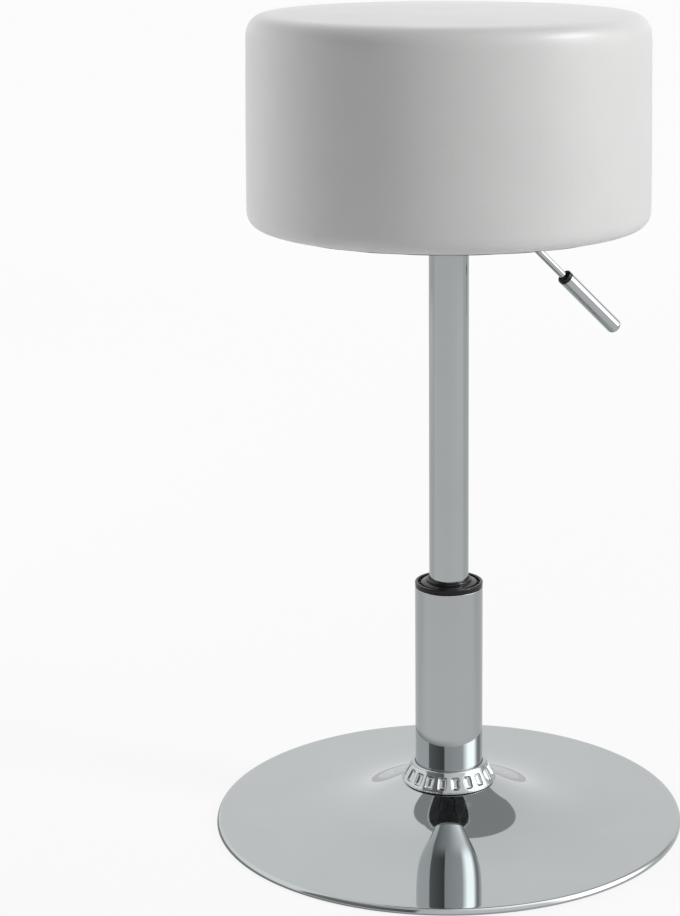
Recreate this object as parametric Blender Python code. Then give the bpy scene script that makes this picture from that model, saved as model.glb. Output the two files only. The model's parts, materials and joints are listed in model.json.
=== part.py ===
"""Vanity stool: a round padded seat on a chromed gas lift, with a release lever and a flared foot.

Units are metres and +Z is up. The origin is on the floor, at the centre of the foot. The seat stands
at the height it has in use, a little below the top of the lift's travel, with the lever let down.
"""
import math

import bmesh
import bpy
import numpy as np
from mathutils import Matrix

for item in list(bpy.data.objects):
    bpy.data.objects.remove(item, do_unlink=True)

# Clearance between neighbouring pieces
FIT = 0.0003

# Facets round a full turn: broad pieces, tubes, small turned pieces and fasteners
BROAD_STEPS = 40
TUBE_STEPS = 32
SMALL_STEPS = 20
SCREW_STEPS = 10
BALL_STEPS = 8

# Edges that turn more than this show as edges
SHARP_ANGLE = math.radians(35.0)

# Facets along a rounded edge, the seat's crown and wall, and the foot's flare, which crowd at its steep end
EDGE_STEPS = 3
CROWN_STEPS = 3
WALL_STEPS = 4
FLARE_STEPS = 10
FLARE_CROWDING = 1.4

# Foot
FOOT_RADIUS = 0.1735
FOOT_SHEET = 0.0015
FOOT_RIM_HEIGHT = 0.0049
FOOT_RIM_ROUND = 0.0028
FOOT_RIM_LIFT = 0.0008
FLARE_HEIGHT = 0.035
FLARE_REACH = 0.056
FLOOR_RING_HEIGHT = 0.0018
FLOOR_RING_WIDTH = 0.014
BALLAST_RIM_GAP = 0.003

# Hub under the foot
HUB_FLANGE_RADIUS = 0.060
HUB_FLANGE_THICKNESS = 0.0026
HUB_FLOOR_THICKNESS = 0.0020
HUB_LIFT = 0.0030
HUB_WALL = 0.0032
HUB_HEIGHT = 0.017
HUB_PASSAGE_RADIUS = 0.014
HUB_SCREW_CIRCLE = 0.045
HUB_SCREW_RADIUS = 0.0025
HUB_SCREW_HEAD_RADIUS = 0.0045
HUB_SCREW_HEAD_HEIGHT = 0.0016
HUB_SCREW_BITE = 0.005
HUB_SCREW_COUNT = 4

# Stand tube, its collar and its cap
STAND_RADIUS = 0.025
STAND_WALL = 0.0016
STAND_FLOOR = 0.003
STAND_TOP = 0.1791
COLLAR_RADIUS = 0.035
COLLAR_TOP_RADIUS = 0.0278
COLLAR_LIP = 0.0010
COLLAR_HEIGHT = 0.0148
POCKET_COUNT = 20
POCKET_WIDTH = 0.0064
POCKET_LENGTH = 0.0094
POCKET_DEPTH = 0.0018
CAP_HEIGHT = 0.0036
CAP_WIDTH = 0.0022
CAP_ROUND = 0.0007
BUSH_LENGTH = 0.070
BUSH_BOSS_RADIUS = 0.0206
BUSH_RISE = 0.0026
BUSH_SLOPE = 0.0030

# Thrust bearing in the bottom of the stand tube
ROD_RADIUS = 0.005
ROD_JOURNAL_RADIUS = 0.004
ROD_END_HEIGHT = 0.0014
WASHER_RADIUS = 0.013
WASHER_THICKNESS = 0.0015
BALL_RADIUS = 0.002
BALL_COUNT = 8
BALL_CIRCLE = 0.0095
CAGE_WIDTH = 0.006
CAGE_THICKNESS = 0.0016
CLIP_RADIUS = 0.008
CLIP_THICKNESS = 0.0014
BUMPER_RADIUS = 0.010
BUMPER_HEIGHT = 0.008

# Gas lift
TRAVEL_DOWN = 0.090
TRAVEL_UP = 0.010
CYLINDER_RADIUS = 0.0145
CYLINDER_WALL = 0.0022
CYLINDER_LIP = 0.0018
CYLINDER_LIP_HEIGHT = 0.0015
CYLINDER_TOP_RADIUS = 0.0133
CYLINDER_TAPER = 0.024
CYLINDER_RISE = 0.0005
END_GUIDE_HEIGHT = 0.014
ROD_SEAL_HEIGHT = 0.004
PISTON_HEIGHT = 0.014
PISTON_SEAL_HEIGHT = 0.003
PISTON_SEAL_DEPTH = 0.002
PISTON_STUD_RADIUS = 0.0035
PISTON_NUT_RADIUS = 0.0065
PISTON_NUT_HEIGHT = 0.005
VALVE_HEIGHT = 0.038
VALVE_PIN_RADIUS = 0.002
VALVE_PIN_RISE = 0.0045
VALVE_PIN_LENGTH = 0.036
VALVE_PIN_CROWN = 0.0007

# Seat
SEAT_RADIUS = 0.1440
SEAT_DEPTH = 0.1498
SEAT_RIM_HEIGHT = 0.5996
SEAT_CROWN = 0.0025
SEAT_BULGE = 0.0005
SEAT_TOP_ROUND = 0.0136
SEAT_BOTTOM_ROUND = 0.0096
COVER_THICKNESS = 0.0012
COVER_TURN_IN = 0.026
BOARD_THICKNESS = 0.015
BOARD_SLOT_WIDTH = 0.036
DUST_COVER_THICKNESS = 0.0007
DUST_COVER_RADIUS = 0.131
DUST_COVER_GAP = 0.0015

# Seat plate and what fastens it
PLATE_SIZE = 0.140
PLATE_CORNER = 0.022
PLATE_THICKNESS = 0.0025
PLATE_SCREW_SPACING = 0.104
PLATE_SCREW_RADIUS = 0.003
PLATE_SCREW_LENGTH = 0.014
PLATE_SCREW_HEAD_RADIUS = 0.0055
PLATE_SCREW_HEAD_HEIGHT = 0.0032
PLATE_SCREW_HEAD_SLOPE = 0.0011
TEE_NUT_WALL = 0.0012
TEE_NUT_LENGTH = 0.009
TEE_NUT_FLANGE_RADIUS = 0.008
TEE_NUT_FLANGE_THICKNESS = 0.0012
SOCKET_LENGTH = 0.017
SOCKET_WALL = 0.0048

# Release lever, which points away from the column at LEVER_TURN from +X
LEVER_TURN = math.radians(25.0)
LEVER_TRAVEL = math.radians(8.0)
LEVER_DROP = math.radians(44.1)
LEVER_ROD_RADIUS = 0.0028
LEVER_BEND_RADIUS = 0.008
LEVER_KNEE_REACH = 0.0364
LEVER_SHANK_LENGTH = 0.0789
LEVER_SLOT_MARGIN = 0.0016
PIVOT_REACH = 0.022
PIVOT_PIN_RADIUS = 0.002
PIVOT_PIN_LENGTH = 0.014
BRACKET_LENGTH = 0.013
BRACKET_SHEET = 0.0016
BRACKET_EAR_MARGIN = 0.0032
TONGUE_WIDTH = 0.006
TONGUE_HEIGHT = 0.006
TONGUE_NOSE = 0.005
TONGUE_CHAMFER = 0.0015
TONGUE_TAIL = 0.0095
GRIP_RADIUS = 0.0057
GRIP_LENGTH = 0.0635
GRIP_BORE_DEPTH = 0.022
GRIP_END_ROUND = 0.0042
FERRULE_LENGTH = 0.0034
FERRULE_ROUND = 0.0014

# Heights and radii that follow from the sizes above
stand_bottom = HUB_LIFT + HUB_FLOOR_THICKNESS + FIT
stand_bore = STAND_RADIUS - STAND_WALL
stand_hole = STAND_RADIUS + FIT
washer_low = stand_bottom + STAND_FLOOR + FIT
ball_height = washer_low + WASHER_THICKNESS + FIT + BALL_RADIUS
washer_high = ball_height + BALL_RADIUS + FIT
rod_shoulder = washer_high + WASHER_THICKNESS + FIT
journal_hole = ROD_JOURNAL_RADIUS + FIT
rod_hole = ROD_RADIUS + FIT
bumper_top = rod_shoulder + BUMPER_HEIGHT
cylinder_bore = CYLINDER_RADIUS - CYLINDER_WALL
cylinder_fit = cylinder_bore - FIT
cylinder_bottom = bumper_top + FIT + TRAVEL_DOWN
guide_bottom = cylinder_bottom + CYLINDER_LIP_HEIGHT + FIT
rod_seal_bottom = guide_bottom + END_GUIDE_HEIGHT + FIT
piston_bottom = rod_seal_bottom + ROD_SEAL_HEIGHT + TRAVEL_UP + FIT
piston_top = piston_bottom + PISTON_HEIGHT
nut_bottom = piston_top + FIT
seat_bottom = SEAT_RIM_HEIGHT - SEAT_DEPTH
board_bottom = seat_bottom + COVER_THICKNESS + FIT
board_top = board_bottom + BOARD_THICKNESS
plate_top = board_bottom - FIT
plate_bottom = plate_top - PLATE_THICKNESS
socket_top = plate_bottom - FIT
socket_bottom = socket_top - SOCKET_LENGTH
cylinder_top = plate_top + CYLINDER_RISE
valve_pin_top = cylinder_top + VALVE_PIN_RISE
pivot_height = valve_pin_top + FIT + TONGUE_HEIGHT / 2
upholstery_inset = COVER_THICKNESS + FIT


# Finishes
def finish(name, colour, roughness, metallic):
    material = bpy.data.materials.new(name)
    material.use_nodes = True
    shader = material.node_tree.nodes["Principled BSDF"]
    shader.inputs["Base Color"].default_value = (*colour, 1.0)
    shader.inputs["Roughness"].default_value = roughness
    shader.inputs["Metallic"].default_value = metallic
    material.diffuse_color = (*colour, 1.0)
    return material


CHROME = finish("chrome", (0.55, 0.56, 0.57), 0.06, 1.0)
STEEL = finish("bright_steel", (0.42, 0.42, 0.43), 0.3, 1.0)
BLACK_STEEL = finish("black_painted_steel", (0.02, 0.02, 0.021), 0.45, 0.0)
IRON = finish("cast_ballast", (0.05, 0.05, 0.052), 0.7, 0.6)
BLACK_PLASTIC = finish("black_plastic", (0.012, 0.012, 0.013), 0.22, 0.0)
RUBBER = finish("black_rubber", (0.015, 0.015, 0.015), 0.75, 0.0)
VINYL = finish("white_vinyl", (0.78, 0.78, 0.77), 0.38, 0.0)
FOAM = finish("seat_foam", (0.82, 0.76, 0.58), 0.9, 0.0)
PLYWOOD = finish("plywood", (0.55, 0.40, 0.24), 0.7, 0.0)
DUST_CLOTH = finish("dust_cloth", (0.02, 0.02, 0.02), 0.95, 0.0)
BRASS = finish("valve_brass", (0.60, 0.44, 0.18), 0.3, 1.0)


# Shapes
def arc(centre, size, start, end, steps):
    """Points of (radius, height) on an ellipse arc about centre, in degrees, with both ends."""
    angles = [math.radians(start + (end - start) * i / steps) for i in range(steps + 1)]
    return [(centre[0] + size[0] * math.cos(a), centre[1] + size[1] * math.sin(a)) for a in angles]


def add_object(name, mesh_data, material, parent):
    piece = bpy.data.objects.new(name, mesh_data)
    bpy.context.scene.collection.objects.link(piece)
    piece.parent = parent
    if material:
        mesh_data.materials.append(material)
    return piece


def add_mesh(name, shape, material, parent):
    """Object from a closed bmesh, faces outward, smooth between sharp edges."""
    bmesh.ops.recalc_face_normals(shape, faces=shape.faces)
    mesh = bpy.data.meshes.new(name)
    shape.to_mesh(mesh)
    shape.free()
    mesh.shade_smooth()
    mesh.set_sharp_from_angle(angle=SHARP_ANGLE)
    return add_object(name, mesh, material, parent)


def spun(outline, steps, places=((0.0, 0.0),)):
    """Closed bmesh of a section of (radius, height) points, spun about an upright axis at each place.

    The section is a closed loop, or a chain from the axis to the axis.
    """
    shape = bmesh.new()
    for x, y in places:
        section = [shape.verts.new((x + r, y, z)) for r, z in outline]
        edges = [shape.edges.new(pair) for pair in zip(section, section[1:])]
        if outline[0][0] > 0.0:
            edges.append(shape.edges.new((section[-1], section[0])))
        bmesh.ops.spin(
            shape, geom=section + edges, cent=(x, y, 0.0), axis=(0.0, 0.0, 1.0),
            angle=math.tau, steps=steps, use_merge=True,
        )
    bmesh.ops.remove_doubles(shape, verts=shape.verts, dist=1e-6)
    return shape


def turned(name, outline, material, parent, steps=TUBE_STEPS):
    return add_mesh(name, spun(outline, steps), material, parent)


def turned_set(name, outline, material, parent, steps, places):
    """Like pieces, numbered from 1, that share one mesh."""
    first = turned(name + "_1", outline, material, parent, steps)
    first.location = (*places[0], 0.0)
    for number, place in enumerate(places[1:], start=2):
        copy = add_object(f"{name}_{number}", first.data, None, parent)
        copy.location = (*place, 0.0)


def drill(name, steps_down, parent, places=((0.0, 0.0),), steps=SCREW_STEPS):
    """Stepped round cutter: (radius, height of its lower end) from the top down, after the top height."""
    top, *widths = steps_down
    outline = [(0.0, top)]
    for radius, low in widths:
        outline += [(radius, top), (radius, low)]
        top = low
    outline.append((0.0, top))
    return add_mesh(name, spun(outline, steps, places), None, parent)


def ring(inner, outer, low, high):
    """Section of a plain ring."""
    return [(outer, high), (outer, low), (inner, low), (inner, high)]


def prism(name, outline, low, high, material, parent=None, frame=Matrix()):
    """Flat outline of (x, y) points raised from low to high, then set in its frame."""
    shape = bmesh.new()
    face = shape.faces.new([shape.verts.new((x, y, low)) for x, y in outline])
    raised = bmesh.ops.extrude_face_region(shape, geom=[face])
    top = [v for v in raised["geom"] if isinstance(v, bmesh.types.BMVert)]
    bmesh.ops.translate(shape, verts=top, vec=(0.0, 0.0, high - low))
    bmesh.ops.transform(shape, matrix=frame, verts=shape.verts)
    return add_mesh(name, shape, material, parent)


def slot_outline(start, end, width):
    """Outline of a slot along X with round ends."""
    half = width / 2
    right = arc((end - half, 0.0), (half, half), -90, 90, 2 * EDGE_STEPS)
    left = arc((start + half, 0.0), (half, half), 90, 270, 2 * EDGE_STEPS)
    return right + left


def rounded_square(size, corner):
    inner = size / 2 - corner
    points = []
    for quarter in range(4):
        turn = quarter * 90
        x = inner * math.copysign(1, math.cos(math.radians(turn + 45)))
        y = inner * math.copysign(1, math.sin(math.radians(turn + 45)))
        points += arc((x, y), (corner, corner), turn, turn + 90, EDGE_STEPS)
    return points


def cut(piece, tool):
    """Takes the tool's volume out of the piece. The tool is a guide and not a piece of the stool."""
    tool.hide_render = True
    tool.display_type = "WIRE"
    modifier = piece.modifiers.new("cut_" + tool.name, "BOOLEAN")
    modifier.operation = "DIFFERENCE"
    modifier.solver = "EXACT"
    modifier.object = tool


def empty(name, location, turn, parent=None):
    point = bpy.data.objects.new(name, None)
    bpy.context.scene.collection.objects.link(point)
    point.location = location
    point.rotation_euler = (0.0, 0.0, turn)
    point.parent = parent
    return point


def circle_places(radius, count, offset=0.5):
    angles = [math.tau * (i + offset) / count for i in range(count)]
    return [(radius * math.cos(a), radius * math.sin(a)) for a in angles]


# Bodies: the foot with its tube, the turning rod, the rising seat, and the lever on the seat
foot = empty("foot", (0.0, 0.0, 0.0), 0.0)
swivel = empty("swivel", (0.0, 0.0, 0.0), 0.0, foot)
cage_turn = empty("cage_turn", (0.0, 0.0, 0.0), 0.0, foot)
seat = empty("seat", (0.0, 0.0, 0.0), 0.0, swivel)
mechanism = empty("mechanism", (0.0, 0.0, 0.0), LEVER_TURN, seat)
lever = empty("lever_pivot", (PIVOT_REACH, 0.0, pivot_height), 0.0, mechanism)
valve = empty("valve", (0.0, 0.0, cylinder_top), 0.0, seat)


# Foot shell: a pressed sheet that rises to the tube in a bell and turns down at the rim
def flare(radius):
    return FOOT_RIM_HEIGHT + FLARE_HEIGHT * math.exp(-((radius / FLARE_REACH) ** 2))


def flare_under(radius):
    """Underside of the sheet, with the thickness taken square to the slope."""
    slope = 2 * radius / FLARE_REACH**2 * (flare(radius) - FOOT_RIM_HEIGHT)
    return flare(radius) - FOOT_SHEET * math.hypot(1.0, slope)


def flare_radii(start, end, steps):
    """Radii that lie closer together where the flare is steep."""
    return [start + (end - start) * (i / steps) ** FLARE_CROWDING for i in range(steps + 1)]


rim_start = FOOT_RADIUS - FOOT_RIM_ROUND
rim_outer = arc((rim_start, FOOT_RIM_LIFT), (FOOT_RIM_ROUND, flare(rim_start) - FOOT_RIM_LIFT),
                90, 0, EDGE_STEPS)
rim_inner = arc(
    (rim_start, FOOT_RIM_LIFT),
    (FOOT_RIM_ROUND - FOOT_SHEET, flare_under(rim_start) - FOOT_RIM_LIFT), 0, 90, EDGE_STEPS,
)
sheet_radii = flare_radii(stand_hole, rim_start, FLARE_STEPS)
shell_top = [(r, flare(r)) for r in sheet_radii[:-1]]
shell_under = [(r, flare_under(r)) for r in reversed(sheet_radii[:-1])]
turned("base_shell", shell_top + rim_outer + rim_inner + shell_under, CHROME, foot, BROAD_STEPS)

# Ballast: a heavy disc that fills the space under the shell and stands on the rubber ring
hub_flange_top = HUB_LIFT + HUB_FLANGE_THICKNESS
hub_radius = stand_hole + HUB_WALL
ballast_bore = hub_radius + FIT
ballast_radius = rim_start - BALLAST_RIM_GAP
ballast_bottom = FLOOR_RING_HEIGHT + FIT
ballast_step = hub_flange_top + FIT
ballast_radii = [ballast_bore, *[r for r in sheet_radii if ballast_bore < r < ballast_radius], ballast_radius]
under_heights = np.interp(ballast_radii, sheet_radii, [flare_under(r) for r in sheet_radii])
ballast_top = [(r, float(height) - FIT) for r, height in zip(ballast_radii, under_heights)]
ballast = turned(
    "base_ballast",
    ballast_top + [
        (ballast_radius, ballast_bottom),
        (HUB_FLANGE_RADIUS + FIT, ballast_bottom),
        (HUB_FLANGE_RADIUS + FIT, ballast_step),
        (ballast_bore, ballast_step),
    ],
    IRON, foot, BROAD_STEPS,
)
turned("floor_ring", ring(ballast_radius - FLOOR_RING_WIDTH, ballast_radius, 0.0, FLOOR_RING_HEIGHT),
       RUBBER, foot, BROAD_STEPS)

# Hub: a turned cup that holds the tube's foot, screwed up into the ballast
hub_places = circle_places(HUB_SCREW_CIRCLE, HUB_SCREW_COUNT)
hub = turned(
    "base_hub",
    [
        (hub_radius, HUB_LIFT + HUB_HEIGHT),
        (hub_radius, hub_flange_top),
        (HUB_FLANGE_RADIUS, hub_flange_top),
        (HUB_FLANGE_RADIUS, HUB_LIFT),
        (HUB_PASSAGE_RADIUS, HUB_LIFT),
        (HUB_PASSAGE_RADIUS, HUB_LIFT + HUB_FLOOR_THICKNESS),
        (stand_hole, HUB_LIFT + HUB_FLOOR_THICKNESS),
        (stand_hole, HUB_LIFT + HUB_HEIGHT),
    ],
    STEEL, foot,
)
hub_head_top = HUB_LIFT - FIT
hub_screw_tip = hub_flange_top + HUB_SCREW_BITE
turned_set(
    "hub_screw",
    [
        (0.0, hub_screw_tip),
        (HUB_SCREW_RADIUS, hub_screw_tip),
        (HUB_SCREW_RADIUS, hub_head_top),
        (HUB_SCREW_HEAD_RADIUS, hub_head_top),
        (HUB_SCREW_HEAD_RADIUS, hub_head_top - HUB_SCREW_HEAD_HEIGHT),
        (0.0, hub_head_top - HUB_SCREW_HEAD_HEIGHT),
    ],
    STEEL, foot, SCREW_STEPS, hub_places,
)
hub_hole = HUB_SCREW_RADIUS + FIT
hub_drill = drill("hub_drill", [hub_screw_tip + FIT, (hub_hole, 0.0)], foot, hub_places)
cut(ballast, hub_drill)
cut(hub, hub_drill)

# Stand tube: a drawn cup whose floor carries the thrust bearing
turned(
    "stand_tube",
    [
        (STAND_RADIUS, STAND_TOP),
        (STAND_RADIUS, stand_bottom),
        (journal_hole, stand_bottom),
        (journal_hole, stand_bottom + STAND_FLOOR),
        (stand_bore, stand_bottom + STAND_FLOOR),
        (stand_bore, STAND_TOP),
    ],
    CHROME, foot,
)

# Collar: a conical ring of small pockets, seated on the flare round the tube
collar_low = flare(COLLAR_RADIUS) + FIT
collar_cone = collar_low + COLLAR_LIP
collar_top = collar_low + COLLAR_HEIGHT
collar_round = (COLLAR_TOP_RADIUS - stand_hole) / 2
collar_crown = arc((COLLAR_TOP_RADIUS - collar_round, collar_top - collar_round),
                   (collar_round, collar_round), 90, 0, EDGE_STEPS)
collar = turned(
    "column_collar",
    collar_crown + [
        (COLLAR_RADIUS, collar_cone),
        (COLLAR_RADIUS, collar_low),
        (stand_hole, flare(stand_hole) + FIT),
        (stand_hole, collar_top),
    ],
    CHROME, foot, 2 * POCKET_COUNT,
)
cone_lean = math.atan2(COLLAR_RADIUS - COLLAR_TOP_RADIUS, collar_top - collar_round - collar_cone)
pocket_radius = (COLLAR_RADIUS + COLLAR_TOP_RADIUS) / 2
pocket_height = (collar_cone + collar_top - collar_round) / 2
pocket_shape = bmesh.new()
for place in range(POCKET_COUNT):
    turn = Matrix.Rotation(math.tau * (place + 0.5) / POCKET_COUNT - math.pi / 2, 4, "Z")
    lean = Matrix.Rotation(-cone_lean, 4, "Y")
    size = Matrix.Diagonal((2 * POCKET_DEPTH, POCKET_WIDTH, POCKET_LENGTH, 1.0))
    centre = Matrix.Translation((pocket_radius, 0.0, pocket_height))
    bmesh.ops.create_cube(pocket_shape, size=1.0, matrix=turn @ centre @ lean @ size)
cut(collar, add_mesh("pocket_cutter", pocket_shape, None, foot))

# Guide bush in the top of the tube, which slopes up to the cylinder, and the black ring on the tube's edge
cylinder_slide = CYLINDER_RADIUS + FIT
cap_bottom = STAND_TOP + FIT
cap_top = cap_bottom + CAP_HEIGHT
bush_top = cap_top + BUSH_RISE
turned(
    "guide_bush",
    [
        (BUSH_BOSS_RADIUS, bush_top - BUSH_SLOPE),
        (BUSH_BOSS_RADIUS, STAND_TOP),
        (stand_bore - FIT, STAND_TOP),
        (stand_bore - FIT, STAND_TOP - BUSH_LENGTH),
        (cylinder_slide, STAND_TOP - BUSH_LENGTH),
        (cylinder_slide, bush_top),
    ],
    BLACK_PLASTIC, foot,
)
turned(
    "column_cap",
    arc((STAND_RADIUS - CAP_ROUND, cap_top - CAP_ROUND), (CAP_ROUND, CAP_ROUND), 90, 0, EDGE_STEPS) + [
        (STAND_RADIUS, cap_bottom),
        (STAND_RADIUS - CAP_WIDTH, cap_bottom),
        (STAND_RADIUS - CAP_WIDTH, cap_top),
    ],
    BLACK_PLASTIC, foot,
)

# Thrust bearing: two washers with a caged ring of balls, under the rod's shoulder
turned("bearing_lower_washer", ring(journal_hole, WASHER_RADIUS, washer_low, washer_low + WASHER_THICKNESS),
       STEEL, foot, SMALL_STEPS)
turned("bearing_upper_washer", ring(journal_hole, WASHER_RADIUS, washer_high, washer_high + WASHER_THICKNESS),
       STEEL, swivel, SMALL_STEPS)
cage = turned(
    "bearing_cage",
    ring(BALL_CIRCLE - CAGE_WIDTH / 2, BALL_CIRCLE + CAGE_WIDTH / 2,
         ball_height - CAGE_THICKNESS / 2, ball_height + CAGE_THICKNESS / 2),
    BRASS, cage_turn, SMALL_STEPS,
)
ball_places = circle_places(BALL_CIRCLE, BALL_COUNT)
cage_hole = BALL_RADIUS + FIT
cage_cut = [ball_height + CAGE_THICKNESS, (cage_hole, ball_height - CAGE_THICKNESS)]
cut(cage, drill("cage_drill", cage_cut, cage_turn, ball_places, BALL_STEPS))
ball_arc = arc((0.0, ball_height), (BALL_RADIUS, BALL_RADIUS), 90, -90, BALL_STEPS // 2)
ball_section = [(max(r, 0.0), z) for r, z in ball_arc]
turned_set("bearing_ball", ball_section, STEEL, cage_turn, BALL_STEPS, ball_places)

# Piston rod: stands on the bearing, held under the tube's floor by a clip, with a bumper above
stud_top = nut_bottom + PISTON_NUT_HEIGHT + FIT
turned(
    "piston_rod",
    [
        (0.0, stud_top),
        (PISTON_STUD_RADIUS, stud_top),
        (PISTON_STUD_RADIUS, piston_bottom - FIT),
        (ROD_RADIUS, piston_bottom - FIT),
        (ROD_RADIUS, rod_shoulder),
        (ROD_JOURNAL_RADIUS, rod_shoulder),
        (ROD_JOURNAL_RADIUS, ROD_END_HEIGHT),
        (0.0, ROD_END_HEIGHT),
    ],
    STEEL, swivel, SMALL_STEPS,
)
clip_top = stand_bottom - FIT
turned("rod_clip", ring(journal_hole, CLIP_RADIUS, clip_top - CLIP_THICKNESS, clip_top),
       STEEL, swivel, SMALL_STEPS)
turned("rubber_bumper", ring(rod_hole, BUMPER_RADIUS, rod_shoulder, bumper_top), RUBBER, swivel, SMALL_STEPS)

# Piston with its seal, held on the rod's stud by a nut
stud_hole = PISTON_STUD_RADIUS + FIT
groove_radius = cylinder_fit - PISTON_SEAL_DEPTH
groove_low = piston_bottom + (PISTON_HEIGHT - PISTON_SEAL_HEIGHT) / 2 - FIT
groove_high = groove_low + PISTON_SEAL_HEIGHT + 2 * FIT
turned(
    "piston",
    [
        (cylinder_fit, piston_top),
        (cylinder_fit, groove_high),
        (groove_radius, groove_high),
        (groove_radius, groove_low),
        (cylinder_fit, groove_low),
        (cylinder_fit, piston_bottom),
        (stud_hole, piston_bottom),
        (stud_hole, piston_top),
    ],
    STEEL, swivel, SMALL_STEPS,
)
turned("piston_seal", ring(groove_radius + FIT, cylinder_fit, groove_low + FIT, groove_high - FIT),
       RUBBER, swivel, SMALL_STEPS)
nut = prism("piston_nut", arc((0.0, 0.0), (PISTON_NUT_RADIUS, PISTON_NUT_RADIUS), 0, 300, 5),
            nut_bottom, nut_bottom + PISTON_NUT_HEIGHT, STEEL, swivel)
cut(nut, drill("nut_drill", [stud_top + FIT, (stud_hole, piston_top)], swivel))

# Gas cylinder: rolled in at the bottom to hold its guide, tapered at the top to wedge in its socket
taper_start = cylinder_top - CYLINDER_TAPER


def taper(height):
    """Outer radius of the cylinder's taper at a height."""
    share = (height - taper_start) / CYLINDER_TAPER
    return CYLINDER_RADIUS + (CYLINDER_TOP_RADIUS - CYLINDER_RADIUS) * min(max(share, 0.0), 1.0)


lip_top = cylinder_bottom + CYLINDER_LIP_HEIGHT
turned(
    "gas_cylinder",
    [
        (CYLINDER_TOP_RADIUS, cylinder_top),
        (CYLINDER_RADIUS, taper_start),
        (CYLINDER_RADIUS, cylinder_bottom),
        (cylinder_bore - CYLINDER_LIP, cylinder_bottom),
        (cylinder_bore - CYLINDER_LIP, lip_top),
        (cylinder_bore, lip_top),
        (cylinder_bore, cylinder_top),
    ],
    CHROME, seat,
)
turned("cylinder_end_guide", ring(rod_hole, cylinder_fit, guide_bottom, guide_bottom + END_GUIDE_HEIGHT),
       BLACK_PLASTIC, seat, SMALL_STEPS)
turned("rod_seal", ring(rod_hole, cylinder_fit, rod_seal_bottom, rod_seal_bottom + ROD_SEAL_HEIGHT),
       RUBBER, seat, SMALL_STEPS)
turned("valve_body", ring(VALVE_PIN_RADIUS + FIT, cylinder_fit, cylinder_top - VALVE_HEIGHT, cylinder_top),
       BRASS, seat, SMALL_STEPS)

# Valve pin: drawn about the top of the valve, and pressed down by the lever's tongue
turned(
    "valve_pin",
    [
        (0.0, VALVE_PIN_RISE),
        (VALVE_PIN_RADIUS / 2, VALVE_PIN_RISE - VALVE_PIN_CROWN / 4),
        (VALVE_PIN_RADIUS, VALVE_PIN_RISE - VALVE_PIN_CROWN),
        (VALVE_PIN_RADIUS, VALVE_PIN_RISE - VALVE_PIN_LENGTH),
        (0.0, VALVE_PIN_RISE - VALVE_PIN_LENGTH),
    ],
    STEEL, valve, SCREW_STEPS,
)

# Taper socket: welded under the seat plate, it takes the wedge of the cylinder
turned(
    "taper_socket",
    [
        (CYLINDER_RADIUS + SOCKET_WALL, socket_top),
        (CYLINDER_RADIUS + SOCKET_WALL, socket_bottom),
        (taper(socket_bottom) + FIT, socket_bottom),
        (taper(socket_top) + FIT, socket_top),
    ],
    BLACK_STEEL, seat,
)


# Lever geometry, in the upright plane of the lever
def shank_reach(height, raised):
    """Distance from the column's axis to the shank's centre line at a height, with the lever raised."""
    arm = LEVER_KNEE_REACH - PIVOT_REACH
    knee_reach = PIVOT_REACH + arm * math.cos(raised)
    knee_height = pivot_height + arm * math.sin(raised)
    return knee_reach + (knee_height - height) / math.tan(LEVER_DROP - raised)


def shank_half_width(raised):
    """Half of the room that the shank takes along a level line."""
    return LEVER_ROD_RADIUS / math.sin(LEVER_DROP - raised)


slot_start = shank_reach(plate_top, 0.0) - shank_half_width(0.0) - LEVER_SLOT_MARGIN
slot_end = shank_reach(plate_bottom, LEVER_TRAVEL) + shank_half_width(LEVER_TRAVEL) + LEVER_SLOT_MARGIN
slot_width = 2 * LEVER_ROD_RADIUS + 4 * LEVER_SLOT_MARGIN

# Seat plate: pressed steel under the seat board, with a way through for the cylinder and the lever
half_spacing = PLATE_SCREW_SPACING / 2
plate_places = [(half_spacing * x, half_spacing * y) for x in (-1, 1) for y in (-1, 1)]
plate = prism("seat_plate", rounded_square(PLATE_SIZE, PLATE_CORNER), plate_bottom, plate_top,
              BLACK_STEEL, mechanism)
plate_hole = PLATE_SCREW_RADIUS + FIT
drill_low = plate_bottom - PLATE_THICKNESS
cut(plate, drill("plate_drill", [board_bottom, (plate_hole, drill_low)], mechanism, plate_places))
cylinder_way = CYLINDER_RADIUS + FIT
cut(plate, drill("cylinder_drill", [board_bottom, (cylinder_way, drill_low)], mechanism, steps=TUBE_STEPS))
cut(plate, prism("lever_slot_cutter", slot_outline(slot_start, slot_end, slot_width), drill_low, board_bottom,
                 None, mechanism))

# Screws through the plate, and the tee nuts in the board that they pull on
screw_head_top = plate_bottom - FIT
screw_tip = plate_bottom + PLATE_SCREW_LENGTH
turned_set(
    "plate_screw",
    [
        (0.0, screw_tip),
        (PLATE_SCREW_RADIUS, screw_tip),
        (PLATE_SCREW_RADIUS, screw_head_top),
        (PLATE_SCREW_HEAD_RADIUS, screw_head_top),
        (PLATE_SCREW_HEAD_RADIUS - PLATE_SCREW_HEAD_SLOPE, screw_head_top - PLATE_SCREW_HEAD_HEIGHT),
        (0.0, screw_head_top - PLATE_SCREW_HEAD_HEIGHT),
    ],
    STEEL, mechanism, SCREW_STEPS, plate_places,
)
barrel_radius = plate_hole + TEE_NUT_WALL
flange_low = board_top - TEE_NUT_FLANGE_THICKNESS
turned_set(
    "tee_nut",
    [
        (TEE_NUT_FLANGE_RADIUS, board_top),
        (TEE_NUT_FLANGE_RADIUS, flange_low),
        (barrel_radius, flange_low),
        (barrel_radius, board_top - TEE_NUT_LENGTH),
        (plate_hole, board_top - TEE_NUT_LENGTH),
        (plate_hole, board_top),
    ],
    STEEL, mechanism, SCREW_STEPS, plate_places,
)


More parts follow.
